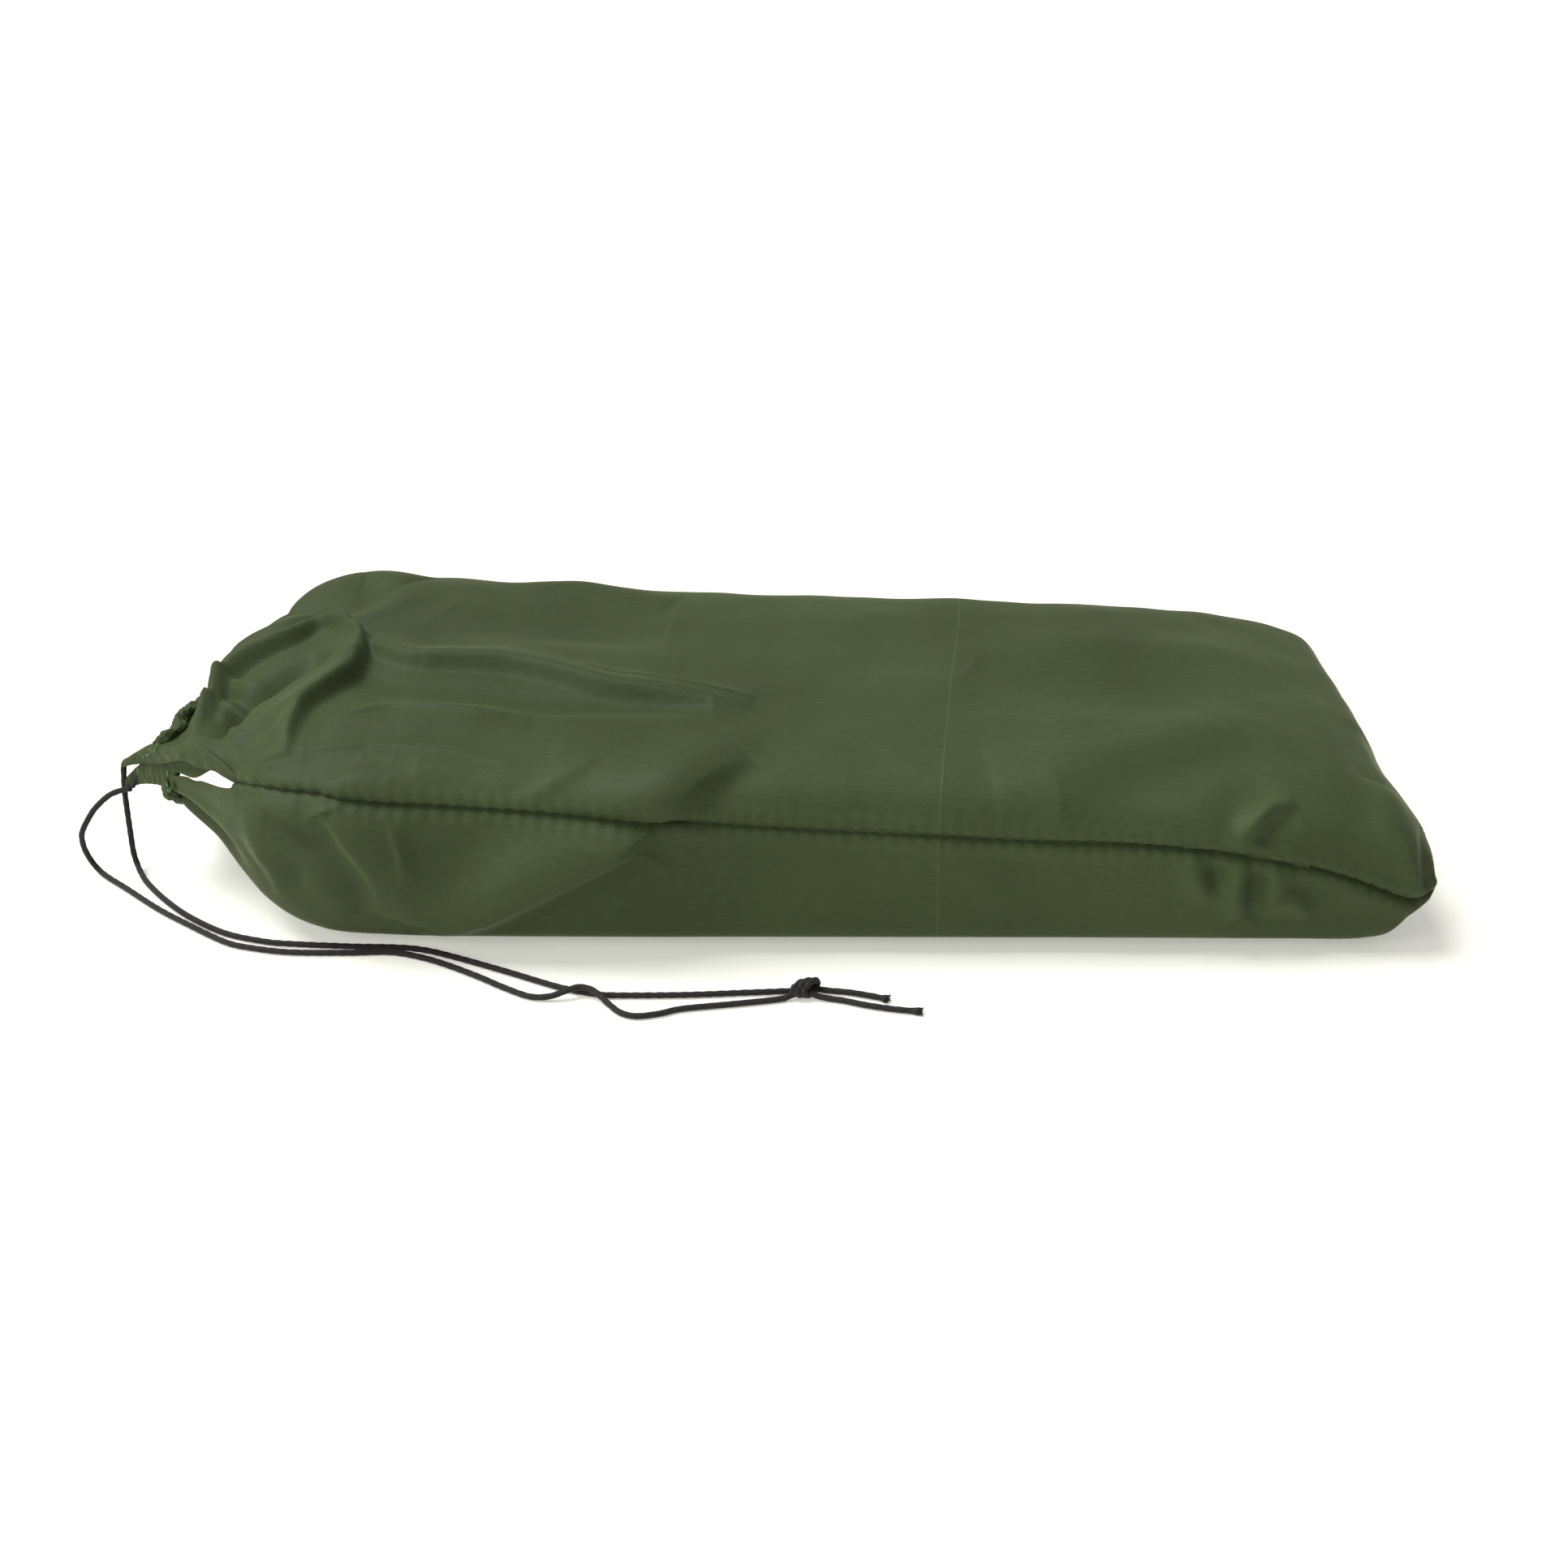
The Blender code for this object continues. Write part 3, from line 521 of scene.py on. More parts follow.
def soft_noise(grid, wave, seed):
    """Smooth random relief, a sum of waves in random directions, about -1 to 1."""
    pick = np.random.RandomState(seed)
    count = 28
    total = np.zeros(grid.shape[:2])
    for _ in range(count):
        direction = pick.normal(size=3)
        direction /= np.linalg.norm(direction)
        length = wave * pick.uniform(0.6, 1.6)
        total += np.sin(grid @ direction * (2 * math.pi / length) + pick.uniform(0, 2 * math.pi))
    return total / math.sqrt(count) * 0.8


def smooth_route(points, steps):
    """Even points along a smooth curve through given points."""
    spots = [Vector(p) for p in points]
    fine = []
    last = len(spots) - 1
    for i in range(last):
        before = spots[max(i - 1, 0)]
        start = spots[i]
        end = spots[i + 1]
        after = spots[min(i + 2, last)]
        for k in range(16):
            t = k / 16
            bend = 2 * before - 5 * start + 4 * end - after
            twist = 3 * start - before - 3 * end + after
            fine.append(0.5 * (2 * start + (end - before) * t + bend * t * t + twist * t ** 3))
    fine.append(spots[last])
    line = np.array([list(p) for p in fine])
    lengths = np.concatenate([[0.0], np.cumsum(np.linalg.norm(np.diff(line, axis=0), axis=1))])
    wanted = np.linspace(0.0, lengths[-1], steps + 1)
    return [[float(np.interp(w, lengths, line[:, axis])) for axis in range(3)] for w in wanted]


def folded_panel(upper):
    """One half of the sack with every fold, pucker and pleat in it."""
    size = sack_settings()
    grid, girth, places = panel_grid(upper)
    normals = shared_normals(grid_normals(grid, upper), girth, places)
    depth = size.fold_depth
    lift = np.zeros(grid.shape[:2])
    for kind, width, height, points in FOLDS:
        lift += fold_height(grid, normals, kind, width, height, points)
    loose = np.clip((places[:, None] - 0.02) / 0.2, 0.0, 1.0)
    resting = np.clip((grid[:, :, 2] - 0.004) / 0.012, 0.0, 1.0)
    lift += soft_noise(grid, 0.085, 11) * 0.0010 * loose
    lift += soft_noise(grid, 0.030, 23) * 0.00025
    lift += gathers(girth, places, upper)
    held = 1.0 - (1.0 - smooth_step(girth / 0.022)) * (1.0 - smooth_step((places - 0.07) / 0.03))[:, None]
    held = held * (0.40 + 0.60 * smooth_step(girth / 0.009))
    room = (ROOM_AT_MOUTH + (ROOM_OVER_BAG - ROOM_AT_MOUTH) * smooth_step((places - 0.10) / 0.04))[:, None]
    lift = np.where(lift < 0, -room * np.tanh(-lift / room), lift)
    grid = grid + normals * (lift * depth * resting * held)[:, :, None]
    grid = drawn_to_rim(grid, girth, places, upper)
    if upper:
        grid = edge_on_hem(grid, girth)
    normals = shared_normals(grid_normals(grid, upper), girth, places)
    fine = seam_puckers(grid, girth, places, upper)
    grid = grid + normals * (fine * depth)[:, :, None]
    grid = corner_ear(grid)
    if not upper:
        grid = fanned_neck(grid, girth)
    grid[:, :, 2] = np.maximum(grid[:, :, 2], 0.0004)
    return grid, girth


def drawn_to_rim(grid, girth, places, upper):
    """Bring the open end of a half of the sack onto the gathered rim."""
    steps = 200
    line = np.array(smooth_route(RIM, steps))
    part = girth / girth[:, -1:]
    spot = (RIM_SHARE * part if upper else 1.0 - (1.0 - RIM_SHARE) * part) * steps
    rim = np.stack([np.interp(spot, np.arange(steps + 1), line[:, axis]) for axis in range(3)], axis=2)
    weight = 1.0 - smooth_step(places / 0.040)
    return grid + (rim - grid) * weight[:, None, None]


def edge_on_hem(grid, girth):
    """Front edge of the upper half, sewn along the upper hem between the mouth and the side seam."""
    hem = np.array(smooth_route(UPPER_HEM_TOP, 200))
    hem = hem[np.argsort(hem[:, 0])]
    edge = grid[:, 0]
    wanted = np.stack([np.interp(edge[:, 0], hem[:, 0], hem[:, axis]) for axis in (1, 2)], axis=1)
    away = wanted - edge[:, 1:]
    along = 1.0 - smooth_step((edge[:, 0] - HEM_END_X) / 0.014)
    weight = along[:, None] * (1.0 - smooth_step(girth / 0.030))
    grid[:, :, 1] += away[:, :1] * weight
    grid[:, :, 2] += (away[:, 1:] - UNDER_HEM) * weight
    return grid


def fanned_neck(grid, girth):
    """Lower half near the mouth: it falls away behind its front edge, so that the slit stays open."""
    x, y, z = (grid[:, :, axis] for axis in range(3))
    behind = y - SLIT_FRONT_Y
    slope = 0.0455 - 0.50 * behind
    left = -0.2042 - 0.273 * behind
    right = -0.1924 - 0.273 * behind
    weight = smooth_step((x - left + 0.004) / 0.005) * (1.0 - smooth_step((x - right - 0.001) / 0.030))
    weight = weight * smooth_step((y + 0.062) / 0.010) * (1.0 - smooth_step((y - 0.026) / 0.020))
    weight = weight * smooth_step((girth[:, -1:] - girth) / 0.012)
    grid[:, :, 2] = z - weight * np.maximum(z - np.maximum(slope, 0.001), 0.0)
    return grid


def corner_ear(grid):
    """Pointed ear where the side seam meets the end seam, pulled out along the sack and up."""
    x, y, z = (grid[:, :, axis] for axis in range(3))
    corner = smooth_step((x - 0.205) / 0.034) * smooth_step((-0.030 - y) / 0.050)
    pulled = grid.copy()
    pulled[:, :, 0] += EAR_REACH * corner * np.exp(-((z - 0.038) / 0.010) ** 2)
    pulled[:, :, 0] -= EAR_REACH * corner * (1.0 - smooth_step((z - 0.014) / 0.012))
    pulled[:, :, 2] += EAR_RISE * corner * np.exp(-((z - 0.034) / 0.010) ** 2)
    return pulled


def gathers(girth, places, upper):
    """Pleats that run out from the gathered mouth and die away along the sack."""
    pick = np.random.RandomState(5 if upper else 9)
    total = np.zeros(girth.shape)
    whole = girth[:, -1:]
    part = girth / np.maximum(whole, 1e-6)
    for count, reach, height in ((17, 0.045, 0.0016), (9, 0.065, 0.0024), (5, 0.100, 0.0020)):
        fade = (np.exp(-(places / reach) ** 2) * smooth_step(places / 0.012))[:, None]
        shift = pick.uniform(0, 2 * math.pi)
        drift = pick.uniform(-6, 6)
        wave = np.sin(2 * math.pi * count * part + shift + drift * places[:, None])
        total += height * fade * (np.abs(wave) ** 0.8 * np.sign(wave))
    edges = smooth_step(girth / 0.006) * smooth_step((whole - girth) / 0.006)
    return total * edges * (0.6 if upper else 1.0)


def seam_puckers(grid, girth, places, upper):
    """Groove along the side seam with a pucker at each stitch."""
    size = sack_settings()
    run = grid[:, :, 0] - size.mouth
    sewn = np.clip((places[:, None] - SLIT_END + 0.004) / 0.010, 0.0, 1.0)
    groove = -0.0024 * np.exp(-(girth / 0.0011) ** 1.2)
    beat = np.sin(2 * math.pi * run / size.stitch + 0.8 * np.sin(run * 90))
    deep = 0.00045 if upper else 0.00035
    pucker = deep * beat * np.exp(-(girth / 0.0038) ** 1.5) * np.clip(girth / 0.0008, 0.2, 1.0)
    welt = 0.0007 * np.exp(-((girth - 0.0036) / 0.0026) ** 2)
    return (groove + pucker + welt) * sewn


# ---------------------------------------------------------------- making meshes


def finish_piece(name, shape, made, body="sack"):
    """Turn a bmesh into a named piece that rides on a body of the frame."""
    mesh = bpy.data.meshes.new(name)
    shape.to_mesh(mesh)
    shape.free()
    item = bpy.data.objects.new(name, mesh)
    bpy.context.scene.collection.objects.link(item)
    mesh.materials.append(made)
    mesh.shade_smooth()
    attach(item, body)
    return item


def grid_piece(name, grid, made, turned=False, closed=False, body="sack"):
    """Fabric or cord laid out on a grid of points, with a map that follows its yarns in metres."""
    columns, rows = grid.shape[:2]
    shape = bmesh.new()
    bmesh.ops.create_grid(shape, x_segments=columns - 1, y_segments=rows - 1, size=1.0)
    mesh = bpy.data.meshes.new(name)
    shape.to_mesh(mesh)
    shape.free()
    flat = np.zeros(len(mesh.vertices) * 3)
    mesh.vertices.foreach_get("co", flat)
    flat = flat.reshape(-1, 3)
    column = np.rint((flat[:, 0] + 1) / 2 * (columns - 1)).astype(int)
    row = np.rint((flat[:, 1] + 1) / 2 * (rows - 1)).astype(int)
    mesh.vertices.foreach_set("co", grid[column, row].ravel())
    run = run_lengths(grid[:, rows // 2])
    climb = run_lengths(grid[columns // 2])
    layer = mesh.uv_layers.new(name="weave")
    corners = np.zeros(len(mesh.loops), dtype=np.int32)
    mesh.loops.foreach_get("vertex_index", corners)
    spread = np.stack([run[column[corners]], climb[row[corners]]], axis=1)
    layer.data.foreach_set("uv", spread.ravel())
    mesh.update()
    shape = bmesh.new()
    shape.from_mesh(mesh)
    bpy.data.meshes.remove(mesh)
    if closed:
        bmesh.ops.remove_doubles(shape, verts=shape.verts, dist=1e-7)
        rims = [edge for edge in shape.edges if edge.is_boundary]
        bmesh.ops.holes_fill(shape, edges=rims, sides=0)
        bmesh.ops.recalc_face_normals(shape, faces=shape.faces)
    elif turned:
        bmesh.ops.reverse_faces(shape, faces=shape.faces)
    return finish_piece(name, shape, made, body)


def run_lengths(line):
    """Distance along a line of points, from its start to each point."""
    line = np.asarray(line)
    return np.concatenate([[0.0], np.cumsum(np.linalg.norm(np.diff(line, axis=0), axis=1))])


def tube_frames(line):
    """Directions across a line of points that turn no more than the line does."""
    spots = np.asarray(line)
    along = np.gradient(spots, axis=0)
    along /= np.linalg.norm(along, axis=1, keepdims=True)
    sides = np.zeros_like(spots)
    side = np.array(Vector(along[0]).orthogonal().normalized())
    for i in range(len(spots)):
        side = side - along[i] * (side @ along[i])
        side /= np.linalg.norm(side)
        sides[i] = side
    return along, sides, np.cross(along, sides)


def tube(name, line, radius, made, around=20, relief=None, body="sack"):
    """Round cord or gathered roll along a line; relief gives its surface height over run and turn."""
    spots = np.asarray(line)
    _, sides, ups = tube_frames(spots)
    turns = np.linspace(0.0, 2 * math.pi, around + 1)
    runs = run_lengths(spots)[:, None]
    wide = np.asarray(radius, dtype=float).reshape(-1, 1)
    reach = np.broadcast_to(wide, (len(spots), around + 1)).copy()
    if relief:
        reach += relief(runs, turns[None, :])
    reach[:, -1] = reach[:, 0]
    grid = (spots[:, None] + sides[:, None] * (np.cos(turns)[None, :] * reach)[:, :, None]
            + ups[:, None] * (np.sin(turns)[None, :] * reach)[:, :, None])
    grid[:, -1] = grid[:, 0]
    return grid_piece(name, grid, made, closed=True, body=body)


# ---------------------------------------------------------------- materials


def new_group(name, outputs, label, value):
    """Empty shader node group with named outputs and one number to set."""
    group = bpy.data.node_groups.new(name, "ShaderNodeTree")
    for output, kind in outputs:
        group.interface.new_socket(name=output, in_out="OUTPUT", socket_type=kind)
    socket = group.interface.new_socket(name=label, in_out="INPUT", socket_type="NodeSocketFloat")
    socket.default_value = value
    return group, group.nodes.new("NodeGroupInput"), group.nodes.new("NodeGroupOutput")


def add_node(tree, kind, **inputs):
    """Shader node; each input is a plain value or the output of a node that feeds it."""
    node = tree.nodes.new(kind)
    for label, value in inputs.items():
        set_input(tree, node.inputs[label], value)
    return node


def set_input(tree, socket, value):
    if isinstance(value, bpy.types.NodeSocket):
        tree.links.new(value, socket)
    else:
        socket.default_value = value


def math_node(tree, kind, *values):
    """Output of a math node fed with numbers or with the outputs of other nodes."""
    node = tree.nodes.new("ShaderNodeMath")
    node.operation = kind
    for at, value in enumerate(values):
        set_input(tree, node.inputs[at], value)
    return node.outputs[0]


HEIGHT_AND_MASK = (("Height", "NodeSocketFloat"), ("Mask", "NodeSocketFloat"))


def weave_group():
    """Plain weave of thin yarns on the piece's own map: height and a brightness mask."""
    if "Taffeta Weave" in bpy.data.node_groups:
        return bpy.data.node_groups["Taffeta Weave"]
    group, source, result = new_group("Taffeta Weave", HEIGHT_AND_MASK, "Threads", 2600.0)
    place = group.nodes.new("ShaderNodeUVMap")
    place.uv_map = "weave"
    scaled = group.nodes.new("ShaderNodeVectorMath")
    scaled.operation = "SCALE"
    group.links.new(place.outputs["UV"], scaled.inputs[0])
    group.links.new(source.outputs["Threads"], scaled.inputs["Scale"])
    split = group.nodes.new("ShaderNodeSeparateXYZ")
    group.links.new(scaled.outputs["Vector"], split.inputs[0])
    yarns = [math_node(group, "SINE", split.outputs[axis]) for axis in ("X", "Y")]
    crossing = math_node(group, "MULTIPLY", *yarns)
    stretch = add_node(group, "ShaderNodeMapping", Vector=place.outputs["UV"], Scale=(0.9, 3.2, 1.0))
    slub = add_node(group, "ShaderNodeTexNoise", Vector=stretch.outputs["Vector"], Scale=220.0, Detail=3.0)
    height = math_node(group, "MULTIPLY_ADD", crossing, 0.5, slub.outputs["Fac"])
    group.links.new(height, result.inputs["Height"])
    group.links.new(slub.outputs["Fac"], result.inputs["Mask"])
    return group


def wrinkle_group():
    """Small random handling wrinkles, read from the place on the object."""
    if "Handling Wrinkles" in bpy.data.node_groups:
        return bpy.data.node_groups["Handling Wrinkles"]
    group, source, result = new_group("Handling Wrinkles", HEIGHT_AND_MASK, "Scale", 28.0)
    place = group.nodes.new("ShaderNodeTexCoord").outputs["Object"]
    broad = add_node(group, "ShaderNodeTexNoise", Vector=place, Scale=source.outputs["Scale"], Detail=4.0,
                     Roughness=0.45, Distortion=0.6)
    patch = add_node(group, "ShaderNodeTexNoise", Vector=place, Scale=9.0, Detail=2.0)
    group.links.new(broad.outputs["Fac"], result.inputs["Height"])
    group.links.new(patch.outputs["Fac"], result.inputs["Mask"])
    return group


# Creases: weights of X and Y, their sum on the line, strength, and where along X the line starts and ends
CREASES = (
    (1.0, -0.105, 0.0741, 0.8, -1.0, 1.0),
    (1.0, -0.020, -0.1250, 0.18, -1.0, 1.0),
    (0.0, 1.0, -0.0430, 0.35, 0.065, 0.150),
    (-0.335, 1.0, -0.0425, 0.5, 0.002, 0.042),
)
CREASE_WANDER = 0.0030
CREASE_END_FADE = 60.0


def crease_group():
    """Thin sharp lines left by flat folding, two across the sack, one along it and one slanting."""
    if "Flat Fold Creases" in bpy.data.node_groups:
        return bpy.data.node_groups["Flat Fold Creases"]
    group, source, result = new_group("Flat Fold Creases", HEIGHT_AND_MASK[1:], "Line Width", 0.00075)
    place = group.nodes.new("ShaderNodeTexCoord").outputs["Object"]
    wander = add_node(group, "ShaderNodeTexNoise", Vector=place, Scale=14.0).outputs["Fac"]
    split = add_node(group, "ShaderNodeSeparateXYZ", Vector=place)
    line_width = source.outputs["Line Width"]
    total = None
    for crease in CREASES:
        line = crease_line(group, split.outputs["X"], split.outputs["Y"], wander, line_width, crease)
        total = math_node(group, "MAXIMUM", total, line) if total else line
    group.links.new(total, result.inputs["Mask"])
    return group


def crease_line(group, x, y, wander, line_width, crease):
    """Mask of one straight crease, soft at its two ends."""
    across, up, shift, strength, start, end = crease

    def sum_of(kind, *values):
        return math_node(group, kind, *values)

    both = sum_of("MULTIPLY_ADD", y, up, sum_of("MULTIPLY", x, across))
    bent = sum_of("MULTIPLY_ADD", wander, CREASE_WANDER, both)
    away = sum_of("ABSOLUTE", sum_of("SUBTRACT", bent, shift + CREASE_WANDER / 2))
    line = sum_of("SUBTRACT", 1.0, sum_of("DIVIDE", away, line_width))
    sharp = sum_of("MULTIPLY", sum_of("MAXIMUM", line, 0.0), strength)
    before = sum_of("MULTIPLY", sum_of("SUBTRACT", x, start), CREASE_END_FADE)
    after = sum_of("MULTIPLY", sum_of("SUBTRACT", end, x), CREASE_END_FADE)
    fade = sum_of("MINIMUM", sum_of("MAXIMUM", sum_of("MINIMUM", before, after), 0.0), 1.0)
    return sum_of("MULTIPLY", sharp, fade)


def place_group(made, group):
    node = made.node_tree.nodes.new("ShaderNodeGroup")
    node.node_tree = group
    return node


def plain_material(name, colour, roughness):
    made = bpy.data.materials.new(name)
    made.use_nodes = True
    shader = made.node_tree.nodes["Principled BSDF"]
    shader.inputs["Base Color"].default_value = (*colour, 1.0)
    shader.inputs["Roughness"].default_value = roughness
    return made, shader


def varied_colour(made, shader, mask, dark, light):
    """Colour that drifts between two shades with a mask."""
    ramp = add_node(made.node_tree, "ShaderNodeValToRGB", Fac=mask)
    for element, place, colour in zip(ramp.color_ramp.elements, (0.35, 0.65), (dark, light)):
        element.position = place
        element.color = (*colour, 1.0)
    made.node_tree.links.new(ramp.outputs["Color"], shader.inputs["Base Color"])


def add_bump(made, shader, height, strength, distance, before=None):
    bump = add_node(made.node_tree, "ShaderNodeBump", Strength=strength, Distance=distance, Height=height)
    if before:
        made.node_tree.links.new(before.outputs["Normal"], bump.inputs["Normal"])
    made.node_tree.links.new(bump.outputs["Normal"], shader.inputs["Normal"])
    return bump


def scaled_colour(colour, factor):
    return tuple(part * factor for part in colour)


def taffeta_material(name, colour):
    """Thin coated taffeta: fine weave, handling wrinkles and a soft sheen."""
    if name in bpy.data.materials:
        return bpy.data.materials[name]
    made, shader = plain_material(name, colour, 0.62)
    shader.inputs["Sheen Weight"].default_value = 0.16
    shader.inputs["Sheen Roughness"].default_value = 0.35
    shader.inputs["Sheen Tint"].default_value = (0.55, 0.68, 0.30, 1.0)
    shader.inputs["Specular IOR Level"].default_value = 0.15
    wrinkle = place_group(made, wrinkle_group())
    weave = place_group(made, weave_group())
    dark, light = (scaled_colour(colour, shade) for shade in (0.88, 1.12))
    varied_colour(made, shader, wrinkle.outputs["Mask"], dark, light)
    crease = place_group(made, crease_group())
    # The paler crease lines are a painted highlight along their ridges.
    paint_crease_highlights(made, shader, crease, weave, colour)
    first = add_bump(made, shader, wrinkle.outputs["Height"], 0.35, 0.0016)
    second = add_bump(made, shader, crease.outputs["Mask"], 0.5, 0.0003, first)
    add_bump(made, shader, weave.outputs["Height"], 0.30, 0.00007, second)
    return made


def paint_crease_highlights(made, shader, crease, weave, colour):
    """Painted highlight: paler lines along the creases where their ridges catch the light, and a faint
    mottle of the yarns.
    """
    tree = made.node_tree
    mottle = tree.nodes.new("ShaderNodeMix")
    mottle.data_type = "RGBA"
    mottle.blend_type = "SOFT_LIGHT"
    mottle.inputs["Factor"].default_value = 0.20
    tree.links.new(shader.inputs["Base Color"].links[0].from_socket, mottle.inputs["A"])
    tree.links.new(weave.outputs["Mask"], mottle.inputs["B"])
    # Painted highlight: the crease mask mixes the colour towards a shade 1.9 times paler than the fabric.
    crease_highlight = tree.nodes.new("ShaderNodeMix")
    crease_highlight.data_type = "RGBA"
    tree.links.new(math_node(tree, "MULTIPLY", crease.outputs["Mask"], 0.40), crease_highlight.inputs["Factor"])
    tree.links.new(mottle.outputs["Result"], crease_highlight.inputs["A"])
    crease_highlight.inputs["B"].default_value = (*scaled_colour(colour, 1.9), 1.0)
    tree.links.new(crease_highlight.outputs["Result"], shader.inputs["Base Color"])


def grained_material(name, colour, roughness, grain, mask, shades, bump, **inputs):
    """Material whose colour and surface vary a little with a fine random grain."""
    if name in bpy.data.materials:
        return bpy.data.materials[name]
    made, shader = plain_material(name, colour, roughness)
    for label, value in inputs.items():
        shader.inputs[label.replace("_", " ")].default_value = value
    wrinkle = place_group(made, wrinkle_group())
    wrinkle.inputs["Scale"].default_value = grain
    dark, light = (scaled_colour(colour, shade) for shade in shades)
    varied_colour(made, shader, wrinkle.outputs[mask], dark, light)
    add_bump(made, shader, wrinkle.outputs["Height"], *bump)
    return made


def thread_material(name, colour):
    return grained_material(name, colour, 0.55, 900.0, "Height", (0.7, 1.2), (0.5, 0.0001),
                            Sheen_Weight=0.2)


def cord_material():
    return grained_material("braided_cord_finish", tuple(cord_settings().colour), 0.72, 1500.0, "Height",
                            (0.6, 1.9), (0.6, 0.00012), Sheen_Weight=0.12, Sheen_Roughness=0.5,
                            Specular_IOR_Level=0.25)


def moulded_material(name, colour, roughness, metallic=0.0):
    return grained_material(name, colour, roughness, 700.0, "Mask", (0.85, 1.15), (0.2, 0.0001),
                            Metallic=metallic)


# ---------------------------------------------------------------- drawcord

# Height of the cord's centre line where it lies on the floor
CORD_REST = 0.00105


def on_floor(*places):
    """Points of a cord that lies on the floor, from their X and Y."""
    return [(x, y, CORD_REST) for x, y in places]


STRAND_A = [
    (-0.2354, -0.0364, 0.03599), (-0.2380, -0.0359, 0.03553), (-0.2436, -0.0367, 0.03362),
    (-0.2492, -0.0374, 0.02878), (-0.2521, -0.0380, 0.02488), (-0.2546, -0.0384, 0.02067),
    (-0.2560, -0.0380, 0.01700), (-0.2562, -0.0370, 0.01193), (-0.2553, -0.0363, 0.00757),
    (-0.2537, -0.0361, 0.00390), (-0.2512, -0.0372, 0.00140),
    *on_floor(
        (-0.2470, -0.0416), (-0.2378, -0.0504), (-0.2227, -0.0653), (-0.2098, -0.0762),
        (-0.1926, -0.0896), (-0.1820, -0.0941), (-0.1671, -0.0972), (-0.1461, -0.0976),
        (-0.1318, -0.0972), (-0.1212, -0.1002), (-0.1103, -0.1058), (-0.0978, -0.1141),
        (-0.0884, -0.1211), (-0.0786, -0.1272)),
    (-0.0716, -0.1282, 0.00172), (-0.0657, -0.1270, 0.00328), (-0.0613, -0.1254, 0.00374),
    (-0.0562, -0.1270, 0.00312), (-0.0512, -0.1321, 0.00140),
    *on_floor(
        (-0.0466, -0.1376), (-0.0411, -0.1399), (-0.0334, -0.1384), (-0.0255, -0.1352),
        (-0.0091, -0.1323), (0.0044, -0.1298), (0.0098, -0.1284)),
]
STRAND_B = [
    (-0.2373, -0.0292, 0.04403), (-0.2390, -0.0273, 0.04299), (-0.2398, -0.0276, 0.04056),
    (-0.2398, -0.0290, 0.03705), (-0.2396, -0.0310, 0.03276), (-0.2395, -0.0316, 0.02574),
    (-0.2394, -0.0319, 0.01560), (-0.2391, -0.0325, 0.00741), (-0.2378, -0.0341, 0.00296),
    *on_floor(
        (-0.2350, -0.0390), (-0.2306, -0.0466), (-0.2212, -0.0590), (-0.2092, -0.0717),
        (-0.1937, -0.0835), (-0.1787, -0.0894), (-0.1680, -0.0913), (-0.1467, -0.0931),
        (-0.1306, -0.0937), (-0.1196, -0.0956), (-0.1073, -0.1009), (-0.0891, -0.1102),
        (-0.0756, -0.1176), (-0.0679, -0.1215), (-0.0586, -0.1249), (-0.0501, -0.1264),
        (-0.0258, -0.1262), (-0.0036, -0.1247), (0.0125, -0.1235)),
]
TAIL_A = [
    (0.0120, -0.1236, 0.00110), (0.0165, -0.1243, 0.00250), (0.0210, -0.1233, 0.00160),
    *on_floor(
        (0.0250, -0.1234), (0.0318, -0.1245), (0.0399, -0.1270), (0.0448, -0.1290)),
]
TAIL_B = [
    (0.0092, -0.1285, 0.00110), (0.0165, -0.1266, 0.00260), (0.0210, -0.1278, 0.00160),
    *on_floor(
        (0.0250, -0.1286), (0.0299, -0.1299), (0.0378, -0.1329), (0.0468, -0.1354), (0.0558, -0.1370)),
]
KNOT_MIDDLE = (0.01665, -0.1256, 0.0036)


def braid_relief(radius):
    """Bumps of eight crossing yarns round a cord."""
    def relief(run, turn):
        rising = np.sin(4 * turn + run * 1500.0)
        falling = np.sin(4 * turn - run * 1500.0)
        return radius * 0.075 * np.maximum(rising, falling)
    return relief


# ---------------------------------------------------------------- operators


class BIVY_OT_stage(bpy.types.Operator):
    """Camera, lights and floor"""

    bl_idname = "bivy.stage"
    bl_label = "Stage"

    def execute(self, context):
        build_camera()
        build_lights()
        build_floor()
        return {"FINISHED"}


def build_camera():
    settings = stage_settings()
    data = bpy.data.cameras.new("camera")
    data.sensor_width = 36.0
    data.lens = settings.lens
    data.clip_start = 0.01
    item = bpy.data.objects.new("camera", data)
    bpy.context.scene.collection.objects.link(item)
    item.location = (0.00935, -settings.distance, settings.camera_height)
    item.rotation_euler = (math.pi / 2 - settings.tilt, 0.0, 0.0)
    bpy.context.scene.camera = item


def build_lights():
    build_world()
    bpy.context.scene.view_settings.view_transform = "Standard"
    sun = bpy.data.lights.new("overhead_softbox", "SUN")
    sun.angle = math.radians(36.0)
    sun.energy = 3.3
    aimed_light("overhead_softbox", sun, (0.0, 0.0, 0.0), (-0.50, 0.12, 1.0))
    lamp = bpy.data.lights.new("left_softbox", "AREA")
    lamp.size = 0.5
    lamp.energy = 5.6
    place = Vector((-0.75, -0.80, 0.55))
    aimed_light("left_softbox", lamp, place, place - Vector((0.0, 0.0, 0.03))).visible_camera = False


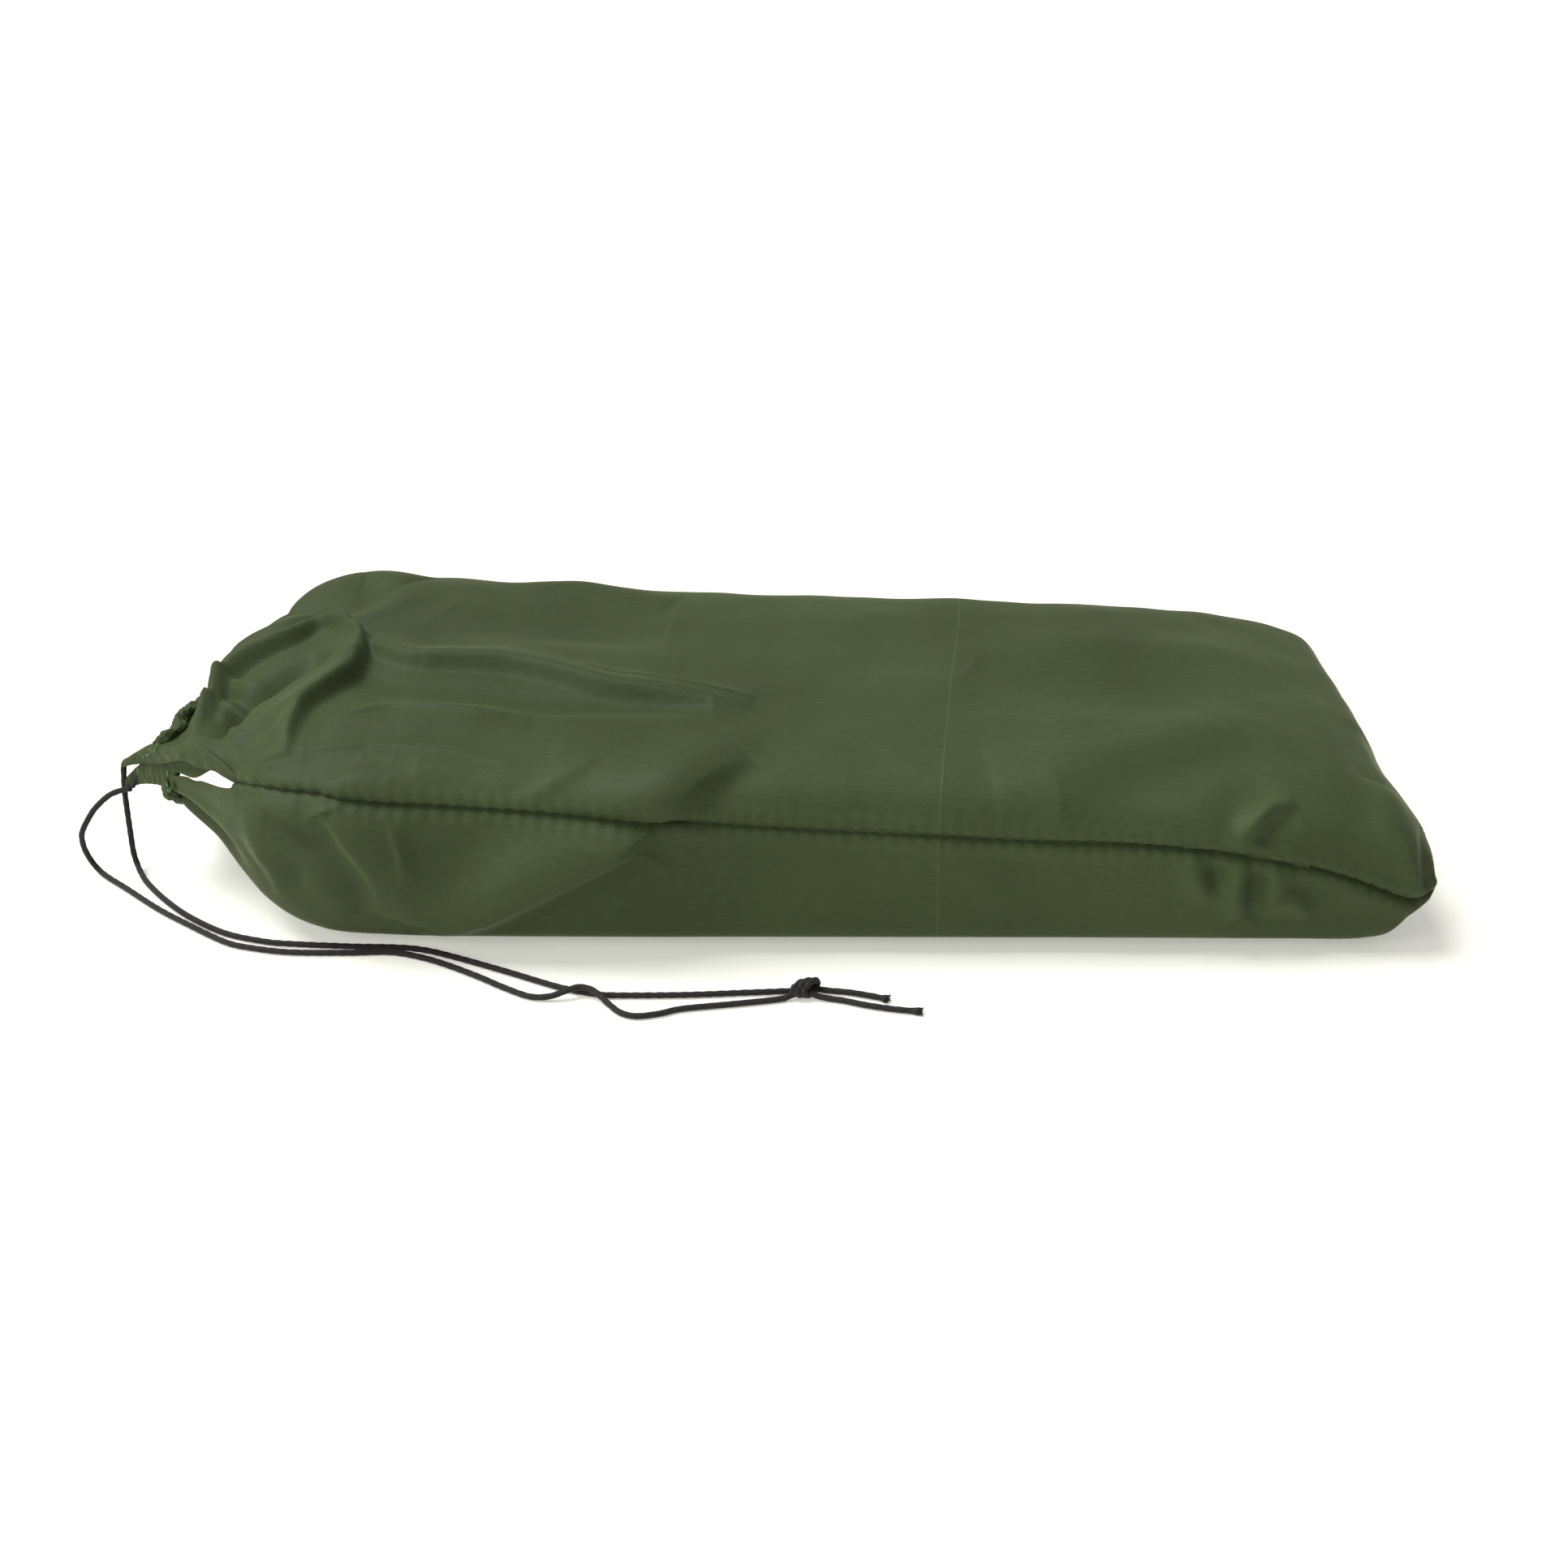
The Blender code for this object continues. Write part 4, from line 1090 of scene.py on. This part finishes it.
def build_world():
    """Soft light from all round, with a paler backdrop where the camera looks straight at it."""
    world = bpy.data.worlds.new("studio")
    bpy.context.scene.world = world
    world.use_nodes = True
    tree = world.node_tree
    soft = tree.nodes["Background"]
    soft.inputs["Color"].default_value = (1.0, 1.0, 1.0, 1.0)
    soft.inputs["Strength"].default_value = 0.36
    pale = add_node(tree, "ShaderNodeBackground", Color=(1.0, 1.0, 1.0, 1.0), Strength=1.1)
    seen = tree.nodes.new("ShaderNodeLightPath")
    mix = add_node(tree, "ShaderNodeMixShader", Fac=seen.outputs["Is Camera Ray"])
    tree.links.new(soft.outputs["Background"], mix.inputs[1])
    tree.links.new(pale.outputs["Background"], mix.inputs[2])
    tree.links.new(mix.outputs["Shader"], tree.nodes["World Output"].inputs["Surface"])


def aimed_light(name, data, place, towards):
    """Light at a place, shining against the given direction."""
    item = bpy.data.objects.new(name, data)
    bpy.context.scene.collection.objects.link(item)
    item.location = place
    item.rotation_euler = Vector(towards).to_track_quat("Z", "Y").to_euler()
    return item


def build_floor():
    shape = bmesh.new()
    bmesh.ops.create_grid(shape, x_segments=2, y_segments=2, size=8.0)
    mesh = bpy.data.meshes.new("floor")
    shape.to_mesh(mesh)
    shape.free()
    item = bpy.data.objects.new("floor", mesh)
    bpy.context.scene.collection.objects.link(item)
    item.location = (0.0, 0.0, -0.0002)
    made, shader = plain_material("floor_finish", (0.72, 0.722, 0.66), 0.28)
    shader.inputs["Emission Color"].default_value = (1.0, 1.0, 0.91, 1.0)
    shader.inputs["Emission Strength"].default_value = 0.36
    shader.inputs["Specular IOR Level"].default_value = 0.25
    mesh.materials.append(made)


class BIVY_OT_drawcord(bpy.types.Operator):
    """Two free strands of the drawcord, their knot and their frayed tails"""

    bl_idname = "bivy.drawcord"
    bl_label = "Drawcord"

    def execute(self, context):
        build_drawcord()
        return {"FINISHED"}


def frayed_tail(name, points, made):
    """Cord end with its yarns spread into a small brush."""
    radius = cord_settings().diameter / 2
    line = smooth_route(points, 60)
    place = np.linspace(0.0, 1.0, len(line))
    flare = radius * (1.0 + 0.38 * smooth_step((place - 0.94) / 0.05))
    tail = tube(name, line, flare, made, 20, braid_relief(radius))
    pick = np.random.RandomState(31 + len(points))
    end = Vector(line[-1])
    along = (end - Vector(line[-6])).normalized()
    side = along.cross(Vector((0, 0, 1))).normalized()
    up = side.cross(along)
    shape = bmesh.new()
    shape.from_mesh(tail.data)
    for _ in range(26):
        turn = pick.uniform(0, 2 * math.pi)
        spread = pick.uniform(0.1, 1.0)
        outward = side * math.cos(turn) + up * math.sin(turn)
        root = end - along * 0.0005 + outward * radius * 1.05 * spread
        reach = pick.uniform(0.0007, 0.0017)
        tip = root + along * reach + outward * reach * pick.uniform(0.2, 0.8)
        tip.z = max(tip.z, 0.0002)
        turned = (tip - root).to_track_quat("Z", "Y").to_matrix().to_4x4()
        placed = Matrix.Translation((root + tip) / 2) @ turned
        bmesh.ops.create_cone(shape, cap_ends=True, segments=5, radius1=0.00030, radius2=0.00012,
                              depth=(tip - root).length, matrix=placed)
    shape.to_mesh(tail.data)
    shape.free()
    tail.data.shade_smooth()
    return tail


def knot_wrap(shift, start, reach, lean):
    """Centre line of one slanting turn of the doubled cord round itself."""
    middle = Vector(KNOT_MIDDLE)
    points = []
    steps = 36
    for k in range(steps + 1):
        part = k / steps
        turn = start + 2 * math.pi * part
        spread = reach * (1.0 - 0.12 * abs(2 * part - 1) ** 3)
        along = shift + (part - 0.5) * 0.0005 + lean * math.cos(turn)
        points.append(middle + Vector((along, spread * math.cos(turn), spread * 0.86 * math.sin(turn))))
    return [list(p) for p in points]


def build_knot(made, radius):
    """Overhand knot tied in the doubled cord: three slanting turns that lie side by side."""
    relief = braid_relief(radius)
    wraps = (
        knot_wrap(-0.0023, 2.2, 0.0023, 0.0017),
        knot_wrap(-0.0002, 2.6, 0.0029, 0.0023),
        knot_wrap(0.0020, 2.6, 0.0030, 0.0023),
    )
    whole = bmesh.new()
    for wrap in wraps:
        turn = tube("knot_turn", smooth_route(wrap, 80), radius, made, 18, relief)
        whole.from_mesh(turn.data)
        bpy.data.objects.remove(turn)
    return finish_piece("cord_knot", whole, made)


def build_drawcord():
    made = cord_material()
    radius = cord_settings().diameter / 2
    relief = braid_relief(radius)
    line_a = smooth_route(STRAND_A, 560)
    line_b = smooth_route(STRAND_B, 540)
    strand_a = tube("cord_strand_lower", line_a, radius, made, 20, relief)
    strand_b = tube("cord_strand_upper", line_b, radius, made, 20, relief)
    knot = build_knot(made, radius)
    tail_a = frayed_tail("cord_tail_short", TAIL_A, made)
    tail_b = frayed_tail("cord_tail_long", TAIL_B, made)
    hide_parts("drawcord_strand_a")
    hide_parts("drawcord_strand_b")
    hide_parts("drawcord_knot")
    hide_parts("drawcord_tail_a")
    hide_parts("drawcord_tail_b")


class BIVY_OT_sack_fabric(bpy.types.Operator):
    """Upper and lower halves of the sack's fabric"""

    bl_idname = "bivy.sack_fabric"
    bl_label = "Sack fabric"

    def execute(self, context):
        build_sack_fabric()
        return {"FINISHED"}


def build_sack_fabric():
    size = sack_settings()
    made = taffeta_material("sack_taffeta", tuple(size.fabric))
    shapes = {upper: folded_panel(upper) for upper in (True, False)}
    sew_together(shapes)
    for name, upper in (("sack_upper_half", True), ("sack_lower_half", False)):
        item = grid_piece(name, shapes[upper][0], made, turned=not upper)
        if upper:
            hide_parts("sack_shell")
    build_seam_stitches()


def sew_together(shapes):
    """Bring the edges of the two halves onto one line along the side seam."""
    (top, top_girth), (low, low_girth) = shapes[True], shapes[False]
    between = (low[:, 0] - top[:, 0]) / 2
    sewn = smooth_step((column_places(COLUMNS) - SLIT_END) / 0.006)[:, None]
    for grid, girth, side in ((top, top_girth, 1.0), (low, low_girth, -1.0)):
        near = np.exp(-(girth / 0.006) ** 1.5)
        grid += side * (between * sewn)[:, None, :] * near[:, :, None]


def build_seam_stitches():
    """Short sunken stitches that show along the side seam and round the end seam; their thread is painted
    darker than the fabric as the stitches' shadows.
    """
    size = sack_settings()
    grid, girth = folded_panel(True)
    pick = np.random.RandomState(3)
    seam = grid[:, 0]
    runs = run_lengths(seam)
    first = int(np.searchsorted(seam[:, 0], size.mouth + SLIT_END * size.length))
    at = runs[first] + 0.002
    lift = Vector((0.0, -0.00022, 0.00006))
    shape = bmesh.new()
    while at < runs[-1] - 0.012:
        reach = size.stitch * pick.uniform(0.34, 0.50)
        start, end = (Vector([float(np.interp(spot, runs, seam[:, axis])) for axis in range(3)])
                      for spot in (at, at + reach))
        add_stitch(shape, start + lift, end + lift, 0.00026)
        at += size.stitch * pick.uniform(0.92, 1.08)
    # Real thread, darkened to 0.35 of the fabric colour: painted shade for the shadow at each stitch.
    made = thread_material("seam_thread", tuple(c * 0.35 for c in size.fabric))
    item = finish_piece("side_seam_stitches", shape, made)
    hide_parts("front_seam_thread")


# ---------------------------------------------------------------- gathered mouth

# Upper and lower edges of the two flat hems that carry the drawcord, from the sack to the open end
UPPER_HEM_TOP = tenths(
    (-1800, -745, 590), (-1853, -735, 606), (-1893, -700, 627), (-1941, -660, 644), (-1992, -610, 654),
    (-2054, -560, 644), (-2149, -500, 598), (-2223, -440, 585), (-2308, -370, 520), (-2384, -320, 456),
)
UPPER_HEM_BOTTOM = tenths(
    (-1800, -755, 570), (-1857, -740, 572), (-1899, -710, 578), (-1940, -670, 582), (-2005, -630, 577),
    (-2073, -580, 580), (-2129, -520, 549), (-2195, -450, 506), (-2293, -370, 470), (-2369, -320, 442),
)
LOWER_HEM_TOP = tenths(
    (-2130, -485, 505), (-2154, -445, 512), (-2204, -410, 512), (-2255, -375, 492), (-2312, -345, 455),
    (-2362, -335, 405),
)
LOWER_HEM_BOTTOM = tenths(
    (-2150, -500, 430), (-2182, -460, 404), (-2213, -430, 405), (-2252, -400, 398), (-2315, -360, 378),
    (-2371, -340, 350),
)
FLAP_TOP = tenths(
    (-2166, -490, 525), (-2087, -525, 580), (-2025, -580, 590), (-1960, -635, 585),
)
FLAP_BOTTOM = tenths(
    (-2150, -500, 500), (-2095, -550, 510), (-2035, -595, 522), (-1962, -637, 574),
)
# Gathered rim of the mouth, from the upper hem over the rear to the lower hem
RIM = tenths(
    (-2222, -450, 590), (-2178, -420, 600), (-2146, -365, 608), (-2152, -300, 615), (-2142, -220, 612),
    (-2130, -130, 590), (-2126, 30, 550), (-2122, 200, 450), (-2112, 340, 290), (-2110, 380, 150),
    (-2118, 300, 48), (-2145, 130, 68), (-2170, -40, 145), (-2180, -200, 240), (-2184, -350, 325),
    (-2184, -450, 395), (-2180, -480, 460),
)
# Drawcord inside the hems; round the rear of the mouth it runs in the rim
HEM_CORD = tenths(
    (-2372, -310, 450), (-2340, -340, 468), (-2300, -370, 495), (-2235, -420, 545), (-2195, -430, 585),
    (-2150, -370, 600), (-2148, -280, 604),
) + RIM[5:14] + tenths(
    (-2186, -350, 330), (-2205, -425, 440), (-2254, -388, 443), (-2312, -355, 416), (-2350, -360, 368),
)
# Start and end of each bright stitch
HEM_STITCHES = [tenths(*ends) for ends in (
    ((-2137, -250, 632), (-2128, -250, 616)), ((-2125, -335, 630), (-2131, -335, 611)),
    ((-2130, -345, 613), (-2142, -345, 587)), ((-2135, -370, 597), (-2134, -370, 573)),
    ((-2193, -465, 603), (-2202, -465, 587)), ((-2205, -465, 584), (-2215, -465, 559)),
    ((-2279, -400, 505), (-2270, -400, 518)), ((-2262, -420, 528), (-2243, -420, 532)),
    ((-2167, -515, 466), (-2165, -515, 443)), ((-2166, -515, 440), (-2164, -515, 421)),
    ((-2157, -515, 443), (-2158, -515, 424)), ((-2160, -515, 513), (-2158, -515, 487)),
    ((-2304, -395, 465), (-2303, -395, 442)), ((-2282, -400, 421), (-2277, -400, 407)),
    ((-2141, -150, 615), (-2140, -150, 608)),
)]


def flat_hem(name, top, bottom, made, thickness):
    """Flattened fabric channel between two edge lines, open at its far end."""
    steps = 90
    upper = np.array(smooth_route(top, steps))
    lower = np.array(smooth_route(bottom, steps))
    middle = (upper + lower) / 2
    half = (upper - lower) / 2
    along = np.gradient(middle, axis=0)
    outward = np.cross(half, along)
    outward /= np.linalg.norm(outward, axis=1, keepdims=True)
    turns = np.linspace(0.0, 2 * math.pi, 37)
    place = np.linspace(0.0, 1.0, steps + 1)
    bulge = 0.45 * np.sin(math.pi * np.clip(place * 1.25, 0, 1))
    deep = thickness * (0.55 + bulge + 0.5 * smooth_step((place - 0.8) / 0.2))
    ripple = 1.0 + 0.16 * np.sin(place * 41.0 + 1.0) * np.sin(place * 17.0)
    across = half[:, None] * np.cos(turns)[None, :, None]
    height = (deep * ripple)[:, None] * np.sign(np.sin(turns)) * np.abs(np.sin(turns)) ** 0.7
    height += 0.00022 * np.sin(place * 60.0)[:, None] * np.cos(3 * turns)[None, :]
    outer = middle[:, None] + across + outward[:, None] * height[:, :, None]
    inner = middle[:, None] + (outer - middle[:, None]) * 0.80
    grid = np.concatenate([outer, inner[::-1][:16]], axis=0)
    grid[:, -1] = grid[:, 0]
    return grid_piece(name, grid, made, closed=True)


def hem_flap(made):
    """Hem allowance that shows below the upper channel, a thin sheet with a turned edge."""
    steps = 40
    upper = np.array(smooth_route(FLAP_TOP, steps))
    lower = np.array(smooth_route(FLAP_BOTTOM, steps))
    part = np.linspace(0.0, 1.0, 16)[None, :, None]
    grid = upper[:, None] * (1 - part) + lower[:, None] * part
    wave = 0.0004 * np.sin(np.linspace(0, 9, steps + 1))[:, None]
    grid[:, :, 1] += 0.0012 * np.sin(math.pi * part[:, :, 0]) + wave
    item = grid_piece("mouth_hem_flap", grid, made)
    wall = item.modifiers.new("wall", "SOLIDIFY")
    wall.thickness = 0.0004
    return item


def gathered_rim(made):
    """Hem channel bunched along the drawcord into small puffs."""
    line = np.array(smooth_route(RIM, 420))
    runs = run_lengths(line)
    beat = runs / 0.0048 + 0.35 * np.sin(runs * 310.0)
    puff = np.abs(np.sin(math.pi * beat)) ** 0.55
    taper = np.clip(np.minimum(runs, runs[-1] - runs) / 0.004, 0.25, 1.0)
    radius = (0.00155 + 0.00135 * puff) * taper

    def relief(run, turn):
        fine = np.sin(7 * turn + run * 900.0) * 0.00016 + np.sin(3 * turn - run * 400.0) * 0.00030
        return fine * np.clip(np.minimum(run, runs[-1] - run) / 0.004, 0.0, 1.0)

    return tube("mouth_gathers", line, radius, made, 32, relief)


def hem_stitches(made):
    """Bright stitches that hold the two hem channels shut."""
    shape = bmesh.new()
    forward = Vector((0.0, -0.0012, 0.0004))
    for start, end in HEM_STITCHES:
        add_stitch(shape, Vector(start) + forward, Vector(end) + forward, 0.00034)
    return finish_piece("hem_stitches", shape, made)


def add_stitch(shape, start, end, radius):
    """One stitch: a short thread with rounded ends."""
    middle = (start + end) / 2
    length = (end - start).length
    turned = (end - start).to_track_quat("Z", "Y").to_matrix().to_4x4()
    made = bmesh.ops.create_icosphere(shape, subdivisions=2, radius=1.0)
    scaled = Matrix.Translation(middle) @ turned @ Matrix.Diagonal((radius, radius, length / 2, 1.0))
    bmesh.ops.transform(shape, matrix=scaled, verts=made["verts"])


class BIVY_OT_mouth(bpy.types.Operator):
    """Hem channels, gathered rim, flap and hem stitches at the mouth"""

    bl_idname = "bivy.mouth"
    bl_label = "Gathered mouth"

    def execute(self, context):
        build_mouth()
        return {"FINISHED"}


def build_mouth():
    size = sack_settings()
    fabric = taffeta_material("sack_taffeta", tuple(size.fabric))
    thread = thread_material("hem_thread", tuple(size.thread))
    upper = flat_hem("mouth_hem_upper", UPPER_HEM_TOP, UPPER_HEM_BOTTOM, fabric, 0.0019)
    lower = flat_hem("mouth_hem_lower", LOWER_HEM_TOP, LOWER_HEM_BOTTOM, fabric, 0.0020)
    rim = gathered_rim(fabric)
    flap = hem_flap(fabric)
    stitches = hem_stitches(thread)
    radius = cord_settings().diameter / 2
    inside = tube("cord_inside_hems", smooth_route(HEM_CORD, 260), radius, cord_material(), 20,
                  braid_relief(radius))
    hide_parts("mouth_casing")
    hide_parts("casing_thread")
    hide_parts("drawcord_in_casing")


class BIVY_OT_finishes(bpy.types.Operator):
    """Finishes of the inner pieces"""

    bl_idname = "bivy.finishes"
    bl_label = "Finishes"

    def execute(self, context):
        build_finishes()
        return {"FINISHED"}


def assign(node, made):
    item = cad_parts[node]
    item.data.materials.clear()
    item.data.materials.append(made)


def build_lock_spring(steel):
    """Coil spring in the cord lock, built as one fixed coil; the real spring shortens as the plunger is
    pressed in, this coil does not.
    """
    low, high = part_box("cord_lock_spring")
    middle = (low + high) / 2
    wire = 0.0004
    turns = 3
    steps = 24
    reach = (high.x - low.x) / 2 - wire
    room = high.y - low.y - 2 * wire
    line = []
    for k in range(turns * steps + 1):
        swing = 2 * math.pi * k / steps
        line.append((middle.x + reach * math.cos(swing), low.y + wire + room * k / (turns * steps),
                     middle.z + reach * math.sin(swing)))
    spring = tube("lock_spring", line, wire, steel, 10, body="cord_lock")
    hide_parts("cord_lock_spring")
    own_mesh(spring)


def build_finishes():
    size = sack_settings()
    fabric = taffeta_material("sack_taffeta", tuple(size.fabric))
    ground = moulded_material("ground_sheet_coating", (0.035, 0.042, 0.030), 0.45)
    upper = moulded_material("top_sheet_laminate", (0.060, 0.074, 0.036), 0.65)
    plastic = moulded_material("lock_moulding", (0.015, 0.015, 0.015), 0.38)
    steel = moulded_material("spring_wire", (0.56, 0.56, 0.55), 0.28, 1.0)
    thread = thread_material("hem_thread", tuple(size.thread))
    cord = cord_material()
    finishes = (
        (fabric, ("sack_shell", "front_seam_allowance", "end_seam_allowance", "mouth_casing")),
        (ground, ("bivy_ground_sheet",)),
        (upper, ("bivy_top_sheet", "bivy_hood")),
        (cord, ("drawcord_in_casing", "drawcord_strand_a", "drawcord_strand_b", "drawcord_knot",
                "drawcord_tail_a", "drawcord_tail_b", "hood_drawcord", "hood_cord_knot")),
        (plastic, ("cord_lock_barrel", "cord_lock_plunger")),
        (steel, ("cord_lock_spring",)),
        (thread, ("front_seam_thread", "casing_thread")),
    )
    for made, nodes in finishes:
        for node in nodes:
            assign(node, made)
    build_lock_spring(steel)


class BIVY_PT_panel(bpy.types.Panel):
    """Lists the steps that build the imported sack"""

    bl_label = "Bivy Sack"
    bl_idname = "BIVY_PT_panel"
    bl_space_type = "VIEW_3D"
    bl_region_type = "UI"
    bl_category = "Bivy Sack"

    def draw(self, context):
        for step in STEPS:
            self.layout.operator(step.bl_idname)


STEPS = (BIVY_OT_stage, BIVY_OT_drawcord, BIVY_OT_sack_fabric, BIVY_OT_mouth, BIVY_OT_finishes)
GROUPS = (SackSettings, CordSettings, StageSettings)


def register():
    for item in (*GROUPS, *STEPS, BIVY_PT_panel):
        bpy.utils.register_class(item)
    bpy.types.Scene.bivy_sack = bpy.props.PointerProperty(type=SackSettings)
    bpy.types.Scene.bivy_cord = bpy.props.PointerProperty(type=CordSettings)
    bpy.types.Scene.bivy_stage = bpy.props.PointerProperty(type=StageSettings)


def unregister():
    del bpy.types.Scene.bivy_sack
    del bpy.types.Scene.bivy_cord
    del bpy.types.Scene.bivy_stage
    for item in (BIVY_PT_panel, *reversed(STEPS), *reversed(GROUPS)):
        bpy.utils.unregister_class(item)


def main():
    register()
    bpy.ops.bivy.stage()
    bpy.ops.bivy.drawcord()
    bpy.ops.bivy.sack_fabric()
    bpy.ops.bivy.mouth()
    bpy.ops.bivy.finishes()


if __name__ == "__main__":
    main()
